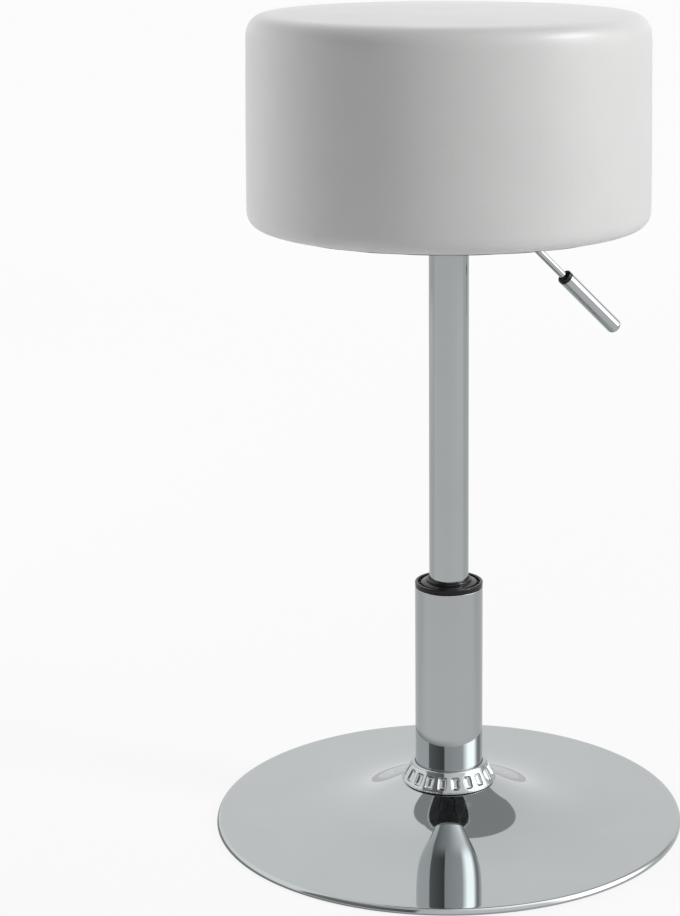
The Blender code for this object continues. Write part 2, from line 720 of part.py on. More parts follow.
# Seat section: a crowned top, a slightly swelled wall and rounded edges, set in by an inset
def seat_top_edge(inset):
    """Crown from the axis outwards, then the round down to the wall."""
    wall = SEAT_RADIUS - SEAT_BULGE
    flat = wall - SEAT_TOP_ROUND
    shares = [i / CROWN_STEPS for i in range(CROWN_STEPS)]
    crown = [(flat * share, SEAT_RIM_HEIGHT - inset + SEAT_CROWN * (1 - share**2)) for share in shares]
    size = SEAT_TOP_ROUND - inset
    return crown + arc((flat, SEAT_RIM_HEIGHT - SEAT_TOP_ROUND), (size, size), 90, 0, EDGE_STEPS)


def seat_wall(inset):
    """Wall from high to low, without its ends, swelled halfway up."""
    low = seat_bottom + SEAT_BOTTOM_ROUND
    high = SEAT_RIM_HEIGHT - SEAT_TOP_ROUND
    shares = [i / WALL_STEPS for i in range(1, WALL_STEPS)]
    straight = SEAT_RADIUS - SEAT_BULGE - inset
    swell = [SEAT_BULGE * math.sin(math.pi * share) for share in shares]
    return [(straight + extra, high + (low - high) * share) for extra, share in zip(swell, shares)]


def seat_bottom_edge(inset):
    """Round from the wall to the underside."""
    flat = SEAT_RADIUS - SEAT_BULGE - SEAT_BOTTOM_ROUND
    size = SEAT_BOTTOM_ROUND - inset
    return arc((flat, seat_bottom + SEAT_BOTTOM_ROUND), (size, size), 0, -90, EDGE_STEPS)


def seat_section(inset):
    """Half section of the seat, from the axis over the top and down the wall to the underside."""
    return seat_top_edge(inset) + seat_wall(inset) + seat_bottom_edge(inset)


def wall_point(section, height):
    """Point of a seat section at a height on its wall."""
    side = [point for point in reversed(section) if point[0] > SEAT_RADIUS / 2]
    radius = np.interp(height, [z for _, z in side], [r for r, _ in side])
    return float(radius), height


# Seat board: plywood, with a slot over the mechanism and stepped holes for the tee nuts
stuffing = seat_section(upholstery_inset)
board = turned(
    "seat_board",
    [(0.0, board_top), wall_point(stuffing, board_top)]
    + [point for point in stuffing if point[1] < board_top] + [(0.0, board_bottom)],
    PLYWOOD, seat, BROAD_STEPS,
)
slot_back = -(CYLINDER_RADIUS + TONGUE_NOSE)
cut(board, prism("board_slot_cutter", slot_outline(slot_back, slot_end, BOARD_SLOT_WIDTH),
                 plate_bottom, board_top + BOARD_THICKNESS, None, mechanism))
nut_recess = flange_low - FIT
nut_cut = [
    board_top + BOARD_THICKNESS,
    (TEE_NUT_FLANGE_RADIUS + FIT, nut_recess),
    (barrel_radius + FIT, plate_bottom),
]
cut(board, drill("tee_nut_drill", nut_cut, mechanism, plate_places))

# Foam and its cover, turned in under the board, with a dust cloth under both that is cut out round the plate
foam_bottom = board_top + FIT
turned(
    "foam_pad",
    [point for point in stuffing if point[1] > foam_bottom]
    + [wall_point(stuffing, foam_bottom), (0.0, foam_bottom)],
    FOAM, seat, BROAD_STEPS,
)


def cover_face(inset):
    """One face of the cover, from the axis over the edge to the turned-in hem."""
    section = seat_section(inset)
    radius, height = section[-1]
    return section + [(radius - COVER_TURN_IN, height)]


turned("seat_cover", cover_face(0.0) + cover_face(COVER_THICKNESS)[::-1], VINYL, seat, BROAD_STEPS)
dust_cover_top = seat_bottom - FIT
dust_cover_low = dust_cover_top - DUST_COVER_THICKNESS
dust_cover = turned(
    "dust_cover",
    [
        (0.0, dust_cover_top),
        (DUST_COVER_RADIUS, dust_cover_top),
        (DUST_COVER_RADIUS, dust_cover_low),
        (0.0, dust_cover_low),
    ],
    DUST_CLOTH, seat, BROAD_STEPS,
)
plate_room = rounded_square(PLATE_SIZE + 2 * DUST_COVER_GAP, PLATE_CORNER + DUST_COVER_GAP)
cut(dust_cover, prism("plate_room_cutter", plate_room, plate_bottom, board_bottom, None, mechanism))

# Bracket: a bent channel on the plate, whose ears hold the pivot pin
pin_hole = PIVOT_PIN_RADIUS + FIT
across = Matrix.Rotation(math.pi / 2, 4, "X")
channel_inner = TONGUE_WIDTH / 2 + FIT
channel_outer = channel_inner + BRACKET_SHEET
bracket_bottom = plate_top + FIT
ear_top = pivot_height + pin_hole + BRACKET_EAR_MARGIN - BRACKET_SHEET
channel = [
    (-channel_outer, bracket_bottom),
    (channel_outer, bracket_bottom),
    (channel_outer, ear_top),
    (channel_inner, ear_top),
    (channel_inner, bracket_bottom + BRACKET_SHEET),
    (-channel_inner, bracket_bottom + BRACKET_SHEET),
    (-channel_inner, ear_top),
    (-channel_outer, ear_top),
]
along = Matrix(((0, 0, 1, 0), (1, 0, 0, 0), (0, 1, 0, 0), (0, 0, 0, 1)))
bracket = prism("lever_bracket", channel, PIVOT_REACH - BRACKET_LENGTH / 2, PIVOT_REACH + BRACKET_LENGTH / 2,
                BLACK_STEEL, mechanism, along)
pin_place = Matrix.Translation((PIVOT_REACH, 0.0, pivot_height)) @ across
pin_half = PIVOT_PIN_LENGTH / 2


def round_bar(name, radius, half_length, material, parent, frame):
    circle = arc((0.0, 0.0), (radius, radius), 0, 360 * (1 - 1 / SCREW_STEPS), SCREW_STEPS - 1)
    return prism(name, circle, -half_length, half_length, material, parent, frame)


cut(bracket, round_bar("ear_drill", pin_hole, pin_half, None, mechanism, pin_place))
round_bar("lever_pivot_pin", PIVOT_PIN_RADIUS, pin_half, STEEL, mechanism, pin_place)

# Tongue: a flat bar on the pivot pin, from over the valve pin out to the rod
tongue_half = TONGUE_HEIGHT / 2
tongue_tip = -PIVOT_REACH - TONGUE_NOSE
tongue = prism(
    "release_tongue",
    [
        (tongue_tip, -tongue_half + TONGUE_CHAMFER),
        (tongue_tip + TONGUE_CHAMFER, -tongue_half),
        (TONGUE_TAIL, -tongue_half),
        (TONGUE_TAIL, tongue_half),
        (tongue_tip + TONGUE_CHAMFER, tongue_half),
        (tongue_tip, tongue_half - TONGUE_CHAMFER),
    ],
    -TONGUE_WIDTH / 2, TONGUE_WIDTH / 2, STEEL, lever, across,
)
cut(tongue, round_bar("tongue_drill", pin_hole, TONGUE_WIDTH, None, lever, across))

# Lever rod: runs level from the tongue, bends down at the knee and ends inside the grip
knee = LEVER_KNEE_REACH - PIVOT_REACH
bend_run = LEVER_BEND_RADIUS * math.tan(LEVER_DROP / 2)
bend_centre = (knee - bend_run, -LEVER_BEND_RADIUS)
shank = (math.cos(LEVER_DROP), -math.sin(LEVER_DROP))
rod_end = LEVER_SHANK_LENGTH + GRIP_BORE_DEPTH - FIT
route = [(TONGUE_TAIL + FIT, 0.0)]
route += arc(bend_centre, (LEVER_BEND_RADIUS, LEVER_BEND_RADIUS), 90, 90 - math.degrees(LEVER_DROP),
             2 * EDGE_STEPS)
route += [(knee + shank[0] * rod_end, shank[1] * rod_end)]
rod_curve = bpy.data.curves.new("lever_rod", "CURVE")
rod_curve.dimensions = "3D"
rod_curve.bevel_depth = LEVER_ROD_RADIUS
rod_curve.bevel_resolution = 4
rod_curve.render_resolution_u = 0
rod_curve.use_fill_caps = True
line = rod_curve.splines.new("POLY")
line.points.add(len(route) - 1)
for point, (x, z) in zip(line.points, route):
    point.co = (x, 0.0, z, 1.0)
line.use_smooth = True
add_object("lever_rod", rod_curve, CHROME, lever)

# Grip: a polished bar with a rounded end, bored for the rod, behind a black ferrule that rings the rod
grip_place = empty("grip_place", (knee + shank[0] * LEVER_SHANK_LENGTH, 0.0, shank[1] * LEVER_SHANK_LENGTH),
                   0.0, lever)
grip_place.rotation_euler = (0.0, math.pi / 2 + LEVER_DROP, 0.0)
grip_bore = LEVER_ROD_RADIUS + FIT
grip_start = FERRULE_LENGTH + FIT
grip_end = arc((0.0, GRIP_LENGTH - GRIP_END_ROUND), (GRIP_RADIUS, GRIP_END_ROUND), 90, 0, EDGE_STEPS + 1)
turned(
    "lever_grip",
    grip_end + [
        (GRIP_RADIUS, grip_start),
        (grip_bore, grip_start),
        (grip_bore, GRIP_BORE_DEPTH),
        (0.0, GRIP_BORE_DEPTH),
    ],
    CHROME, grip_place, SMALL_STEPS,
)
ferrule_mouth = arc((GRIP_RADIUS - FERRULE_ROUND, FERRULE_ROUND), (FERRULE_ROUND, FERRULE_ROUND),
                    0, -90, EDGE_STEPS)
turned(
    "grip_ferrule",
    [(GRIP_RADIUS, FERRULE_LENGTH)] + ferrule_mouth + [(grip_bore, 0.0), (grip_bore, FERRULE_LENGTH)],
    BLACK_PLASTIC, grip_place, SMALL_STEPS,
)
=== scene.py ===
"""Looks of a vanity stool: a white padded drum seat on a chromed gas lift with a flared foot."""
import json
import math

import bmesh
import bpy
import numpy as np
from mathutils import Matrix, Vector


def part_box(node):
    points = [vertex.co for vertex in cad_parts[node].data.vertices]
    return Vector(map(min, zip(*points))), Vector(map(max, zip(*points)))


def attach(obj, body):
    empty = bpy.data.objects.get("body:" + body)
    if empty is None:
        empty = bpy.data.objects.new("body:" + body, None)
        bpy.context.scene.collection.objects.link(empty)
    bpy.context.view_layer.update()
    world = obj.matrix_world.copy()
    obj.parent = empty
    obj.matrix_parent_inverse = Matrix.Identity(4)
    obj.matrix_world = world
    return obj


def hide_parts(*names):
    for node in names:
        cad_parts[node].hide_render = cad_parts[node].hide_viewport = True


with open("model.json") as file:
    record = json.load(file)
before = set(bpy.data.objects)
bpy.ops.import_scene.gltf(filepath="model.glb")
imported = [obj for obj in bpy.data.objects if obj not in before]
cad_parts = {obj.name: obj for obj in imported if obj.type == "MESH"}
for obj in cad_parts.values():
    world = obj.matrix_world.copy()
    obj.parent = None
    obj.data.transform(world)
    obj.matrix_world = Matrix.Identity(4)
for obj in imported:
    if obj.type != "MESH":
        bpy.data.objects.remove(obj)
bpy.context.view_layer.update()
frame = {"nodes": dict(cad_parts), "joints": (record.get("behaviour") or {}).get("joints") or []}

# Foot shell. A round of steel sheet, pressed into a shallow bell and turned down at the rim, then
# ground, buffed and chrome plated. It slips over the stand tube and hides the ballast under it.
SHELL_SHEET = 0.0015
SHELL_RIM_HEIGHT = 0.0049
SHELL_RIM_ROUND = 0.0028
SHELL_FLARE_REACH = 0.056
SHELL_HOLE_RADIUS = 0.0253
SHELL_TURNS = 224
SHELL_ROWS = 72
SHELL_ROW_CROWDING = 1.4
SHELL_UNDER_EVERY = 3
RIM_OUTSIDE_STEPS = 12
RIM_INSIDE_STEPS = 6
CHROME_COLOUR = (0.448, 0.472, 0.479, 1.0)
CHROME_HAZE_COLOUR = (0.436, 0.459, 0.466, 1.0)
CHROME_ROUGHNESS = 0.022
CHROME_HAZE_ROUGHNESS = 0.03
CHROME_HAZE_SCALE = 14.0
CHROME_SMEAR_SCALE = 55.0
CHROME_HAZE_EDGES = (0.4, 0.7)
MERGE_DISTANCE = 1e-7


class Socket:
    """An output of a shader node. Sums, products and powers of values add their own Math nodes."""

    def __init__(self, tree, output):
        self.tree = tree
        self.output = output

    def node(self, kind, settings, sockets, output=0):
        """Adds a node: its type, its settings, the values or links of its sockets, and the output wanted."""
        made = self.tree.nodes.new("ShaderNode" + kind)
        for name, value in settings.items():
            setattr(made, name, value)
        for key, value in sockets.items():
            if isinstance(value, Socket):
                self.tree.links.new(value.output, made.inputs[key])
            else:
                made.inputs[key].default_value = value
        return Socket(self.tree, made.outputs[output])

    def math(self, operation, first, second):
        return self.node("Math", {"operation": operation}, {0: first, 1: second})

    def __add__(self, other):
        return self.math("ADD", self, other)

    def __sub__(self, other):
        return self.math("SUBTRACT", self, other)

    def __rsub__(self, other):
        return self.math("SUBTRACT", other, self)

    def __mul__(self, other):
        return self.math("MULTIPLY", self, other)

    __radd__ = __add__
    __rmul__ = __mul__

    def ramp(self, low, high):
        """Smooth step: 0 up to low, 1 from high on."""
        limits = {"Value": self, "From Min": low, "From Max": high}
        return self.node("MapRange", {"interpolation_type": "SMOOTHSTEP"}, limits)

    def between(self, first, second):
        """Colour that goes from the first to the second as this value goes from 0 to 1."""
        return self.node("Mix", {"data_type": "RGBA"}, {0: self, 6: first, 7: second}, output=2)

    def noise(self, scale, detail=2.0):
        return self.node("TexNoise", {}, {"Vector": self, "Scale": scale, "Detail": detail})

    def stretched(self, x, y, z):
        """These coordinates with each axis scaled, so that a pattern is drawn out along the least."""
        return self.node("Mapping", {}, {"Vector": self, "Scale": (x, y, z)})

    def bump(self, strength, depth):
        """Normal of a surface raised by this value times the depth."""
        return self.node("Bump", {}, {"Height": self, "Strength": strength, "Distance": depth})


def new_finish(name, constants):
    """Material with a Principled shader, its constant sockets set. Gives it with its Object coordinates."""
    material = bpy.data.materials.new(name)
    material.use_nodes = True
    tree = material.node_tree
    shader = tree.nodes["Principled BSDF"]
    for key, value in constants.items():
        shader.inputs[key].default_value = value
    place = Socket(tree, tree.nodes.new("ShaderNodeTexCoord").outputs["Object"])
    return material, place


def vary(material, sockets):
    """Links values that change over the surface to the material's shader."""
    tree = material.node_tree
    for key, value in sockets.items():
        tree.links.new(value.output, tree.nodes["Principled BSDF"].inputs[key])


def add_surface(name, grid, ring, material):
    """Object over a grid of points (row, column, xyz), or over several such grids.

    Each cell of four neighbours is a face. Columns close on themselves, and the rows of a ring too.
    Points that fall together, as at a pole, are merged.
    """
    index = np.arange(grid.size // 3).reshape(-1, *grid.shape[-3:-1])
    if ring:
        index = np.concatenate([index, index[:, :1]], axis=1)
    beside = np.roll(index, -1, axis=2)
    faces = np.stack([index[:, :-1], index[:, 1:], beside[:, 1:], beside[:, :-1]], axis=-1)
    mesh = bpy.data.meshes.new(name)
    mesh.from_pydata(grid.reshape(-1, 3), [], faces.reshape(-1, 4))
    shape = bmesh.new()
    shape.from_mesh(mesh)
    bmesh.ops.remove_doubles(shape, verts=shape.verts, dist=MERGE_DISTANCE)
    shape.to_mesh(mesh)
    shape.free()
    mesh.shade_smooth()
    mesh.materials.append(material)
    piece = bpy.data.objects.new(name, mesh)
    bpy.context.scene.collection.objects.link(piece)
    return piece


def turn(section, turns):
    """Grid of a section (radius, height) carried round the upright axis: (r cos a, r sin a, z)."""
    angles = np.linspace(0.0, math.tau, turns, endpoint=False)
    radius, height = section[:, :1], section[:, 1:]
    return np.stack([radius * np.cos(angles), radius * np.sin(angles), height + 0.0 * angles], axis=-1)


def stand_for(piece, body, slot, *nodes):
    """The piece rides on a body and stands for CAD nodes, which are hidden. Its slot is not used."""
    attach(piece, body)
    if nodes:
        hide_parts(*nodes)


def ellipse_arc(centre, size, start, end, steps):
    """Points at evenly spaced angles, in degrees, on an ellipse about a centre (radius, height)."""
    angles = np.radians(np.linspace(start, end, steps + 1))
    return np.array(centre) + np.array(size) * np.stack([np.cos(angles), np.sin(angles)], axis=-1)


chrome, place = new_finish("polished_chrome", {"Metallic": 1.0})
haze = place.noise(CHROME_HAZE_SCALE, 3.0).ramp(*CHROME_HAZE_EDGES)
smear = place.noise(CHROME_SMEAR_SCALE, 4.0)
vary(chrome, {
    "Base Color": haze.between(CHROME_COLOUR, CHROME_HAZE_COLOUR),
    "Roughness": CHROME_ROUGHNESS + haze * smear * CHROME_HAZE_ROUGHNESS,
})

shell_low, shell_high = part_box("base_shell")
shell_rim_start = shell_high.x - SHELL_RIM_ROUND
shell_rise = (shell_high.z - SHELL_RIM_HEIGHT) / math.exp(-((SHELL_HOLE_RADIUS / SHELL_FLARE_REACH) ** 2))


def shell_height(radius):
    """Top of the bell: the rim's height plus a rise that dies away with the square of the radius."""
    return SHELL_RIM_HEIGHT + shell_rise * np.exp(-((radius / SHELL_FLARE_REACH) ** 2))


shell_shares = np.linspace(0.0, 1.0, SHELL_ROWS) ** SHELL_ROW_CROWDING
shell_radii = SHELL_HOLE_RADIUS + (shell_rim_start - SHELL_HOLE_RADIUS) * shell_shares
shell_tops = shell_height(shell_radii)
shell_slopes = 2 * shell_radii / SHELL_FLARE_REACH**2 * (shell_tops - SHELL_RIM_HEIGHT)
shell_unders = shell_tops - SHELL_SHEET * np.hypot(1.0, shell_slopes)
rim_centre = (shell_rim_start, shell_low.z)
rim_outside = ellipse_arc(rim_centre, (SHELL_RIM_ROUND, shell_tops[-1] - shell_low.z),
                          90, 0, RIM_OUTSIDE_STEPS)
rim_inside = ellipse_arc(rim_centre, (SHELL_RIM_ROUND - SHELL_SHEET, shell_unders[-1] - shell_low.z),
                         0, 90, RIM_INSIDE_STEPS)
shell_section = np.vstack([
    np.stack([shell_radii[:-1], shell_tops[:-1]], axis=-1), rim_outside,
    rim_inside, np.stack([shell_radii[:-1], shell_unders[:-1]], axis=-1)[::-SHELL_UNDER_EVERY],
])
flared_foot = add_surface("flared_foot", turn(shell_section, SHELL_TURNS), True, chrome)
stand_for(flared_foot, "base", "chrome", "base_shell")

# Tread ring. A flat ring of moulded black rubber, glued under the ballast just inside the rim. It keeps
# the foot from sliding and the chrome off the floor.
TREAD_WIDTH = 0.014
TREAD_ROUND = 0.0005
TREAD_TURNS = 128
RUBBER_COLOUR = (0.016, 0.016, 0.016, 1.0)
RUBBER_WORN_COLOUR = (0.032, 0.031, 0.030, 1.0)
RUBBER_GRAIN_SCALE = 900.0
RUBBER_WEAR_SCALE = 40.0
CORNER_STEPS = 6
CORNER_POINTS = CORNER_STEPS + 3
CORNER_HOLD = 0.0004


def rounded(corners):
    """Closed section through corners (radius, height, round).

    Each corner becomes an arc of its round that touches both of its sides, with a point on each side
    just past the arc, so that long straight sides shade as straight. That is CORNER_POINTS for each.
    """
    corners = np.array(corners, float)
    points, rounds = corners[:, :2], corners[:, 2:]
    back = np.roll(points, 1, axis=0) - points
    ahead = np.roll(points, -1, axis=0) - points
    back /= np.linalg.norm(back, axis=1, keepdims=True)
    ahead /= np.linalg.norm(ahead, axis=1, keepdims=True)
    half = np.arccos(np.clip(np.sum(back * ahead, axis=1, keepdims=True), -1.0, 1.0)) / 2
    run = rounds / np.tan(half)
    starts, ends = points + back * run, points + ahead * run
    middle = (back + ahead) / np.linalg.norm(back + ahead, axis=1, keepdims=True)
    centres = points + middle * rounds / np.sin(half)
    first = np.arctan2(*(starts - centres).T[::-1])
    last = np.arctan2(*(ends - centres).T[::-1])
    sweep = (last - first + math.pi) % math.tau - math.pi
    angles = first[:, None] + sweep[:, None] * np.linspace(0.0, 1.0, CORNER_STEPS + 1)
    arcs = centres[:, None] + rounds[:, None] * np.stack([np.cos(angles), np.sin(angles)], axis=-1)
    straight = np.linalg.norm(np.roll(starts, -1, axis=0) - ends, axis=1, keepdims=True)
    hold_ahead = np.minimum(CORNER_HOLD, straight / 3)
    hold_back = np.roll(hold_ahead, 1, axis=0)
    before = (starts + back * hold_back)[:, None]
    after = (ends + ahead * hold_ahead)[:, None]
    return np.concatenate([before, arcs, after], axis=1).reshape(-1, 2)


def ring_section(inner, outer, low, high, edge):
    """Section of a plain ring with its four edges rounded."""
    return rounded([(outer, high, edge), (outer, low, edge), (inner, low, edge), (inner, high, edge)])


rubber, place = new_finish("moulded_rubber", {"Specular IOR Level": 0.3})
grain = place.noise(RUBBER_GRAIN_SCALE, 3.0)
vary(rubber, {
    "Base Color": place.noise(RUBBER_WEAR_SCALE).ramp(0.45, 0.75).between(RUBBER_COLOUR, RUBBER_WORN_COLOUR),
    "Roughness": 0.62 + 0.2 * grain,
    "Normal": grain.bump(0.4, 0.0003),
})

tread_low, tread_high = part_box("floor_ring")
tread_section = ring_section(tread_high.x - TREAD_WIDTH, tread_high.x, tread_low.z, tread_high.z, TREAD_ROUND)
rubber_tread = add_surface("rubber_tread", turn(tread_section, TREAD_TURNS), True, rubber)
stand_for(rubber_tread, "base", "black_rubber", "floor_ring")

# Ballast. A disc of grey iron, sand cast and left as it came from the mould, that fills the space under
# the shell. The stool stands on it through the rubber ring.
BALLAST_COLOUR = (0.045, 0.044, 0.044, 1.0)
BALLAST_RUST_COLOUR = (0.075, 0.050, 0.036, 1.0)
BALLAST_SAND_SCALE = 700.0
BALLAST_RUST_SCALE = 25.0


def dress(material, *nodes):
    """Gives CAD nodes a finish."""
    for node in nodes:
        slots = frame["nodes"][node].data.materials
        slots.clear()
        slots.append(material)


cast_iron, place = new_finish("cast_iron", {"Metallic": 0.4})
sand = place.noise(BALLAST_SAND_SCALE, 6.0)
rust = place.noise(BALLAST_RUST_SCALE, 5.0).ramp(0.5, 0.8)
vary(cast_iron, {
    "Base Color": rust.between(BALLAST_COLOUR, BALLAST_RUST_COLOUR),
    "Roughness": 0.6 + 0.25 * sand,
    "Normal": sand.bump(0.6, 0.0006),
})
dress(cast_iron, "base_ballast")

# Hub and its screws. A turned steel cup, zinc plated, that takes the foot of the stand tube. Four screws
# pull it up into the ballast.
ZINC_COLOUR = (0.44, 0.44, 0.45, 1.0)
ZINC_CLOUD_COLOUR = (0.40, 0.41, 0.40, 1.0)
ZINC_LATHE_SCALES = (60.0, 60.0, 9000.0)
ZINC_CLOUD_SCALE = 120.0
hub_screws = [f"hub_screw_{number}" for number in (1, 2, 3, 4)]

zinc, place = new_finish("zinc_plate", {"Metallic": 1.0})
lathe_marks = place.stretched(*ZINC_LATHE_SCALES).noise(1.0, 2.0)
vary(zinc, {
    "Base Color": place.noise(ZINC_CLOUD_SCALE, 4.0).ramp(0.35, 0.65).between(ZINC_COLOUR, ZINC_CLOUD_COLOUR),
    "Roughness": 0.24 + 0.16 * lathe_marks,
    "Normal": lathe_marks.bump(0.15, 0.0001),
})
dress(zinc, "base_hub", *hub_screws)

# Stand tube. A drawn steel tube of 50 mm with its floor pressed in, polished and chrome plated, that
# stands in the hub and carries the whole lift.
TUBE_WALL = 0.0016
TUBE_FLOOR = 0.003
TUBE_FLOOR_HOLE = 0.0043
TUBE_EDGE = 0.0003
TUBE_TURNS = 160

tube_low, tube_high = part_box("stand_tube")
tube_radius = tube_high.x
tube_bore = tube_radius - TUBE_WALL
tube_section = rounded([
    (tube_radius, tube_high.z, TUBE_EDGE),
    (tube_radius, tube_low.z, TUBE_EDGE),
    (TUBE_FLOOR_HOLE, tube_low.z, TUBE_EDGE),
    (TUBE_FLOOR_HOLE, tube_low.z + TUBE_FLOOR, TUBE_EDGE),
    (tube_bore, tube_low.z + TUBE_FLOOR, TUBE_EDGE),
    (tube_bore, tube_high.z, TUBE_EDGE),
])
column_tube = add_surface("column_tube", turn(tube_section, TUBE_TURNS), True, chrome)
stand_for(column_tube, "base", "chrome", "stand_tube")

# Collar. A die-cast ring with a cone of small pockets, chrome plated, that slides down the tube and
# covers the joint between the tube and the foot shell.
COLLAR_TOP_RADIUS = 0.0278
COLLAR_LIP = 0.0014
COLLAR_GAP = 0.0003
COLLAR_EDGE = 0.0003
COLLAR_UNDERCUT = 0.0006
POCKET_COUNT = 20
POCKET_COLUMNS = 32
POCKET_WIDTH = 0.0064
POCKET_LENGTH = 0.0094
POCKET_CORNER = 0.0016
POCKET_STEP = 0.0006
POCKET_STEP_RUN = 0.00045
POCKET_DISH = 0.0012
POCKET_ROWS = 44
CONE_SHARE = (0.03, 0.97)
COLLAR_CROWN_STEPS = 8

collar_low, collar_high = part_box("column_collar")
collar_bore = tube_radius + COLLAR_GAP
collar_round = (COLLAR_TOP_RADIUS - collar_bore) / 2
cone_foot = np.array([collar_high.x, collar_low.z + COLLAR_LIP])
cone_head = np.array([COLLAR_TOP_RADIUS, collar_high.z - collar_round])
cone_length = np.linalg.norm(cone_foot - cone_head)
cone_out = np.array([cone_head[1] - cone_foot[1], cone_foot[0] - cone_head[0]]) / cone_length
collar_crown = ellipse_arc((COLLAR_TOP_RADIUS - collar_round, collar_high.z - collar_round),
                           (collar_round, collar_round), 90, 0, COLLAR_CROWN_STEPS)
cone_shares = np.linspace(*CONE_SHARE, POCKET_ROWS)
cone_line = cone_head + cone_shares[:, None] * (cone_foot - cone_head)
collar_rest = rounded([
    (*cone_foot, COLLAR_EDGE),
    (collar_high.x, collar_low.z + COLLAR_UNDERCUT, COLLAR_EDGE),
    (collar_bore, shell_high.z + COLLAR_GAP, COLLAR_EDGE),
    (collar_bore, collar_high.z, COLLAR_EDGE),
    (*cone_head, 0.0),
])[:-CORNER_POINTS]
collar_grid = turn(np.vstack([collar_crown, cone_line, collar_rest]), POCKET_COUNT * POCKET_COLUMNS)

# Depth of a pocket: a step at the edge of a rounded rectangle, then a dish towards its middle.
around = np.arange(POCKET_COUNT * POCKET_COLUMNS) * math.tau / (POCKET_COUNT * POCKET_COLUMNS)
pocket_turn = around * POCKET_COUNT / math.tau % 1.0 - 0.5
cone_radii = cone_line[:, :1]
aside = np.abs(pocket_turn) * math.tau / POCKET_COUNT * cone_radii - (POCKET_WIDTH / 2 - POCKET_CORNER)
along = np.abs(cone_shares - 0.5)[:, None] * cone_length - (POCKET_LENGTH / 2 - POCKET_CORNER)
outside = np.hypot(np.maximum(aside, 0.0), np.maximum(along, 0.0))
edge_distance = POCKET_CORNER - outside - np.minimum(np.maximum(aside, along), 0.0)
step = np.clip(edge_distance / POCKET_STEP_RUN, 0.0, 1.0)
rise = 1.0 - np.clip(edge_distance / (POCKET_WIDTH / 2), 0.0, 1.0)
depth = POCKET_STEP * step * step * (3.0 - 2.0 * step) + POCKET_DISH * (1.0 - rise * rise)
cone_rows = slice(len(collar_crown), len(collar_crown) + POCKET_ROWS)
outward = np.stack([cone_out[0] * np.cos(around), cone_out[0] * np.sin(around),
                    cone_out[1] + 0.0 * around], axis=-1)
collar_grid[cone_rows] -= depth[..., None] * outward
pocketed_collar = add_surface("pocketed_collar", collar_grid, True, chrome)
stand_for(pocketed_collar, "base", "chrome", "column_collar")

# Guide bush and cap. The bush is a long sleeve of black acetal, pressed into the tube, in which the lift
# slides, with a low neck round the lift on its sloping end. The cap is a glossy black ring that snaps on
# the tube's edge.
BUSH_BOSS_RADIUS = 0.0206
BUSH_SLOPE = 0.0030
BUSH_NECK_RADIUS = 0.0170
BUSH_NECK_HEIGHT = 0.0022
BUSH_NECK_ROUND = 0.0015
BUSH_BORE = 0.0148
BUSH_EDGE = 0.0004
BUSH_STEP_EDGE = 0.0001
CAP_WIDTH = 0.0022
CAP_EDGE = 0.0007
PLASTIC_COLOUR = (0.010, 0.010, 0.011, 1.0)
PLASTIC_DUSTY_COLOUR = (0.020, 0.020, 0.021, 1.0)
PLASTIC_PEEL_SCALE = 420.0
PLASTIC_DUST_SCALE = 90.0

plastic, place = new_finish("black_plastic", {"Specular IOR Level": 0.25})
peel = place.noise(PLASTIC_PEEL_SCALE, 2.0)
dust = place.noise(PLASTIC_DUST_SCALE, 4.0).ramp(0.5, 0.8)
vary(plastic, {
    "Base Color": dust.between(PLASTIC_COLOUR, PLASTIC_DUSTY_COLOUR),
    "Roughness": 0.10 + 0.06 * peel,
    "Normal": peel.bump(0.06, 0.0002),
})

bush_low, bush_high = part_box("guide_bush")
bush_section = rounded([
    (BUSH_BOSS_RADIUS, bush_high.z - BUSH_SLOPE, BUSH_EDGE),
    (BUSH_BOSS_RADIUS, tube_high.z, BUSH_STEP_EDGE),
    (bush_high.x, tube_high.z, BUSH_EDGE),
    (bush_high.x, bush_low.z, BUSH_EDGE),
    (BUSH_BORE, bush_low.z, BUSH_EDGE),
    (BUSH_BORE, bush_high.z, BUSH_EDGE),
    (BUSH_NECK_RADIUS, bush_high.z, BUSH_NECK_ROUND),
    (BUSH_NECK_RADIUS, bush_high.z - BUSH_NECK_HEIGHT, BUSH_EDGE),
])
lift_bush = add_surface("lift_bush", turn(bush_section, TUBE_TURNS), True, plastic)
stand_for(lift_bush, "base", "black_plastic", "guide_bush")

cap_low, cap_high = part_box("column_cap")
cap_section = ring_section(cap_high.x - CAP_WIDTH, cap_high.x, cap_low.z, cap_high.z, CAP_EDGE)
tube_cap = add_surface("tube_cap", turn(cap_section, TUBE_TURNS), True, plastic)
stand_for(tube_cap, "base", "black_plastic", "column_cap")

# Thrust bearing. Two hardened washers with a ring of eight balls in a brass cage, which lie on the floor
# of the stand tube and let the rod turn under load.
BRASS_COLOUR = (0.60, 0.44, 0.18, 1.0)
BRASS_TARNISH_COLOUR = (0.42, 0.28, 0.11, 1.0)
BRASS_TOOL_SCALES = (90.0, 90.0, 6000.0)
BRASS_TARNISH_SCALE = 200.0
bearing_balls = [f"bearing_ball_{number}" for number in range(1, 9)]

brass, place = new_finish("turned_brass", {"Metallic": 1.0})
tool_marks = place.stretched(*BRASS_TOOL_SCALES).noise(1.0, 2.0)
tarnish = place.noise(BRASS_TARNISH_SCALE, 4.0).ramp(0.4, 0.7)
vary(brass, {
    "Base Color": tarnish.between(BRASS_COLOUR, BRASS_TARNISH_COLOUR),
    "Roughness": 0.22 + 0.18 * tool_marks,
})
dress(brass, "bearing_cage")
dress(zinc, "bearing_lower_washer", "bearing_upper_washer", *bearing_balls)

# Piston rod. A ground steel rod that stands on the bearing and is held under the tube's floor by a clip.
# The piston with its seal is bolted on its top, and a rubber bumper round its foot ends the travel.
dress(zinc, "piston_rod", "rod_clip", "piston", "piston_nut")
dress(rubber, "rubber_bumper", "piston_seal")

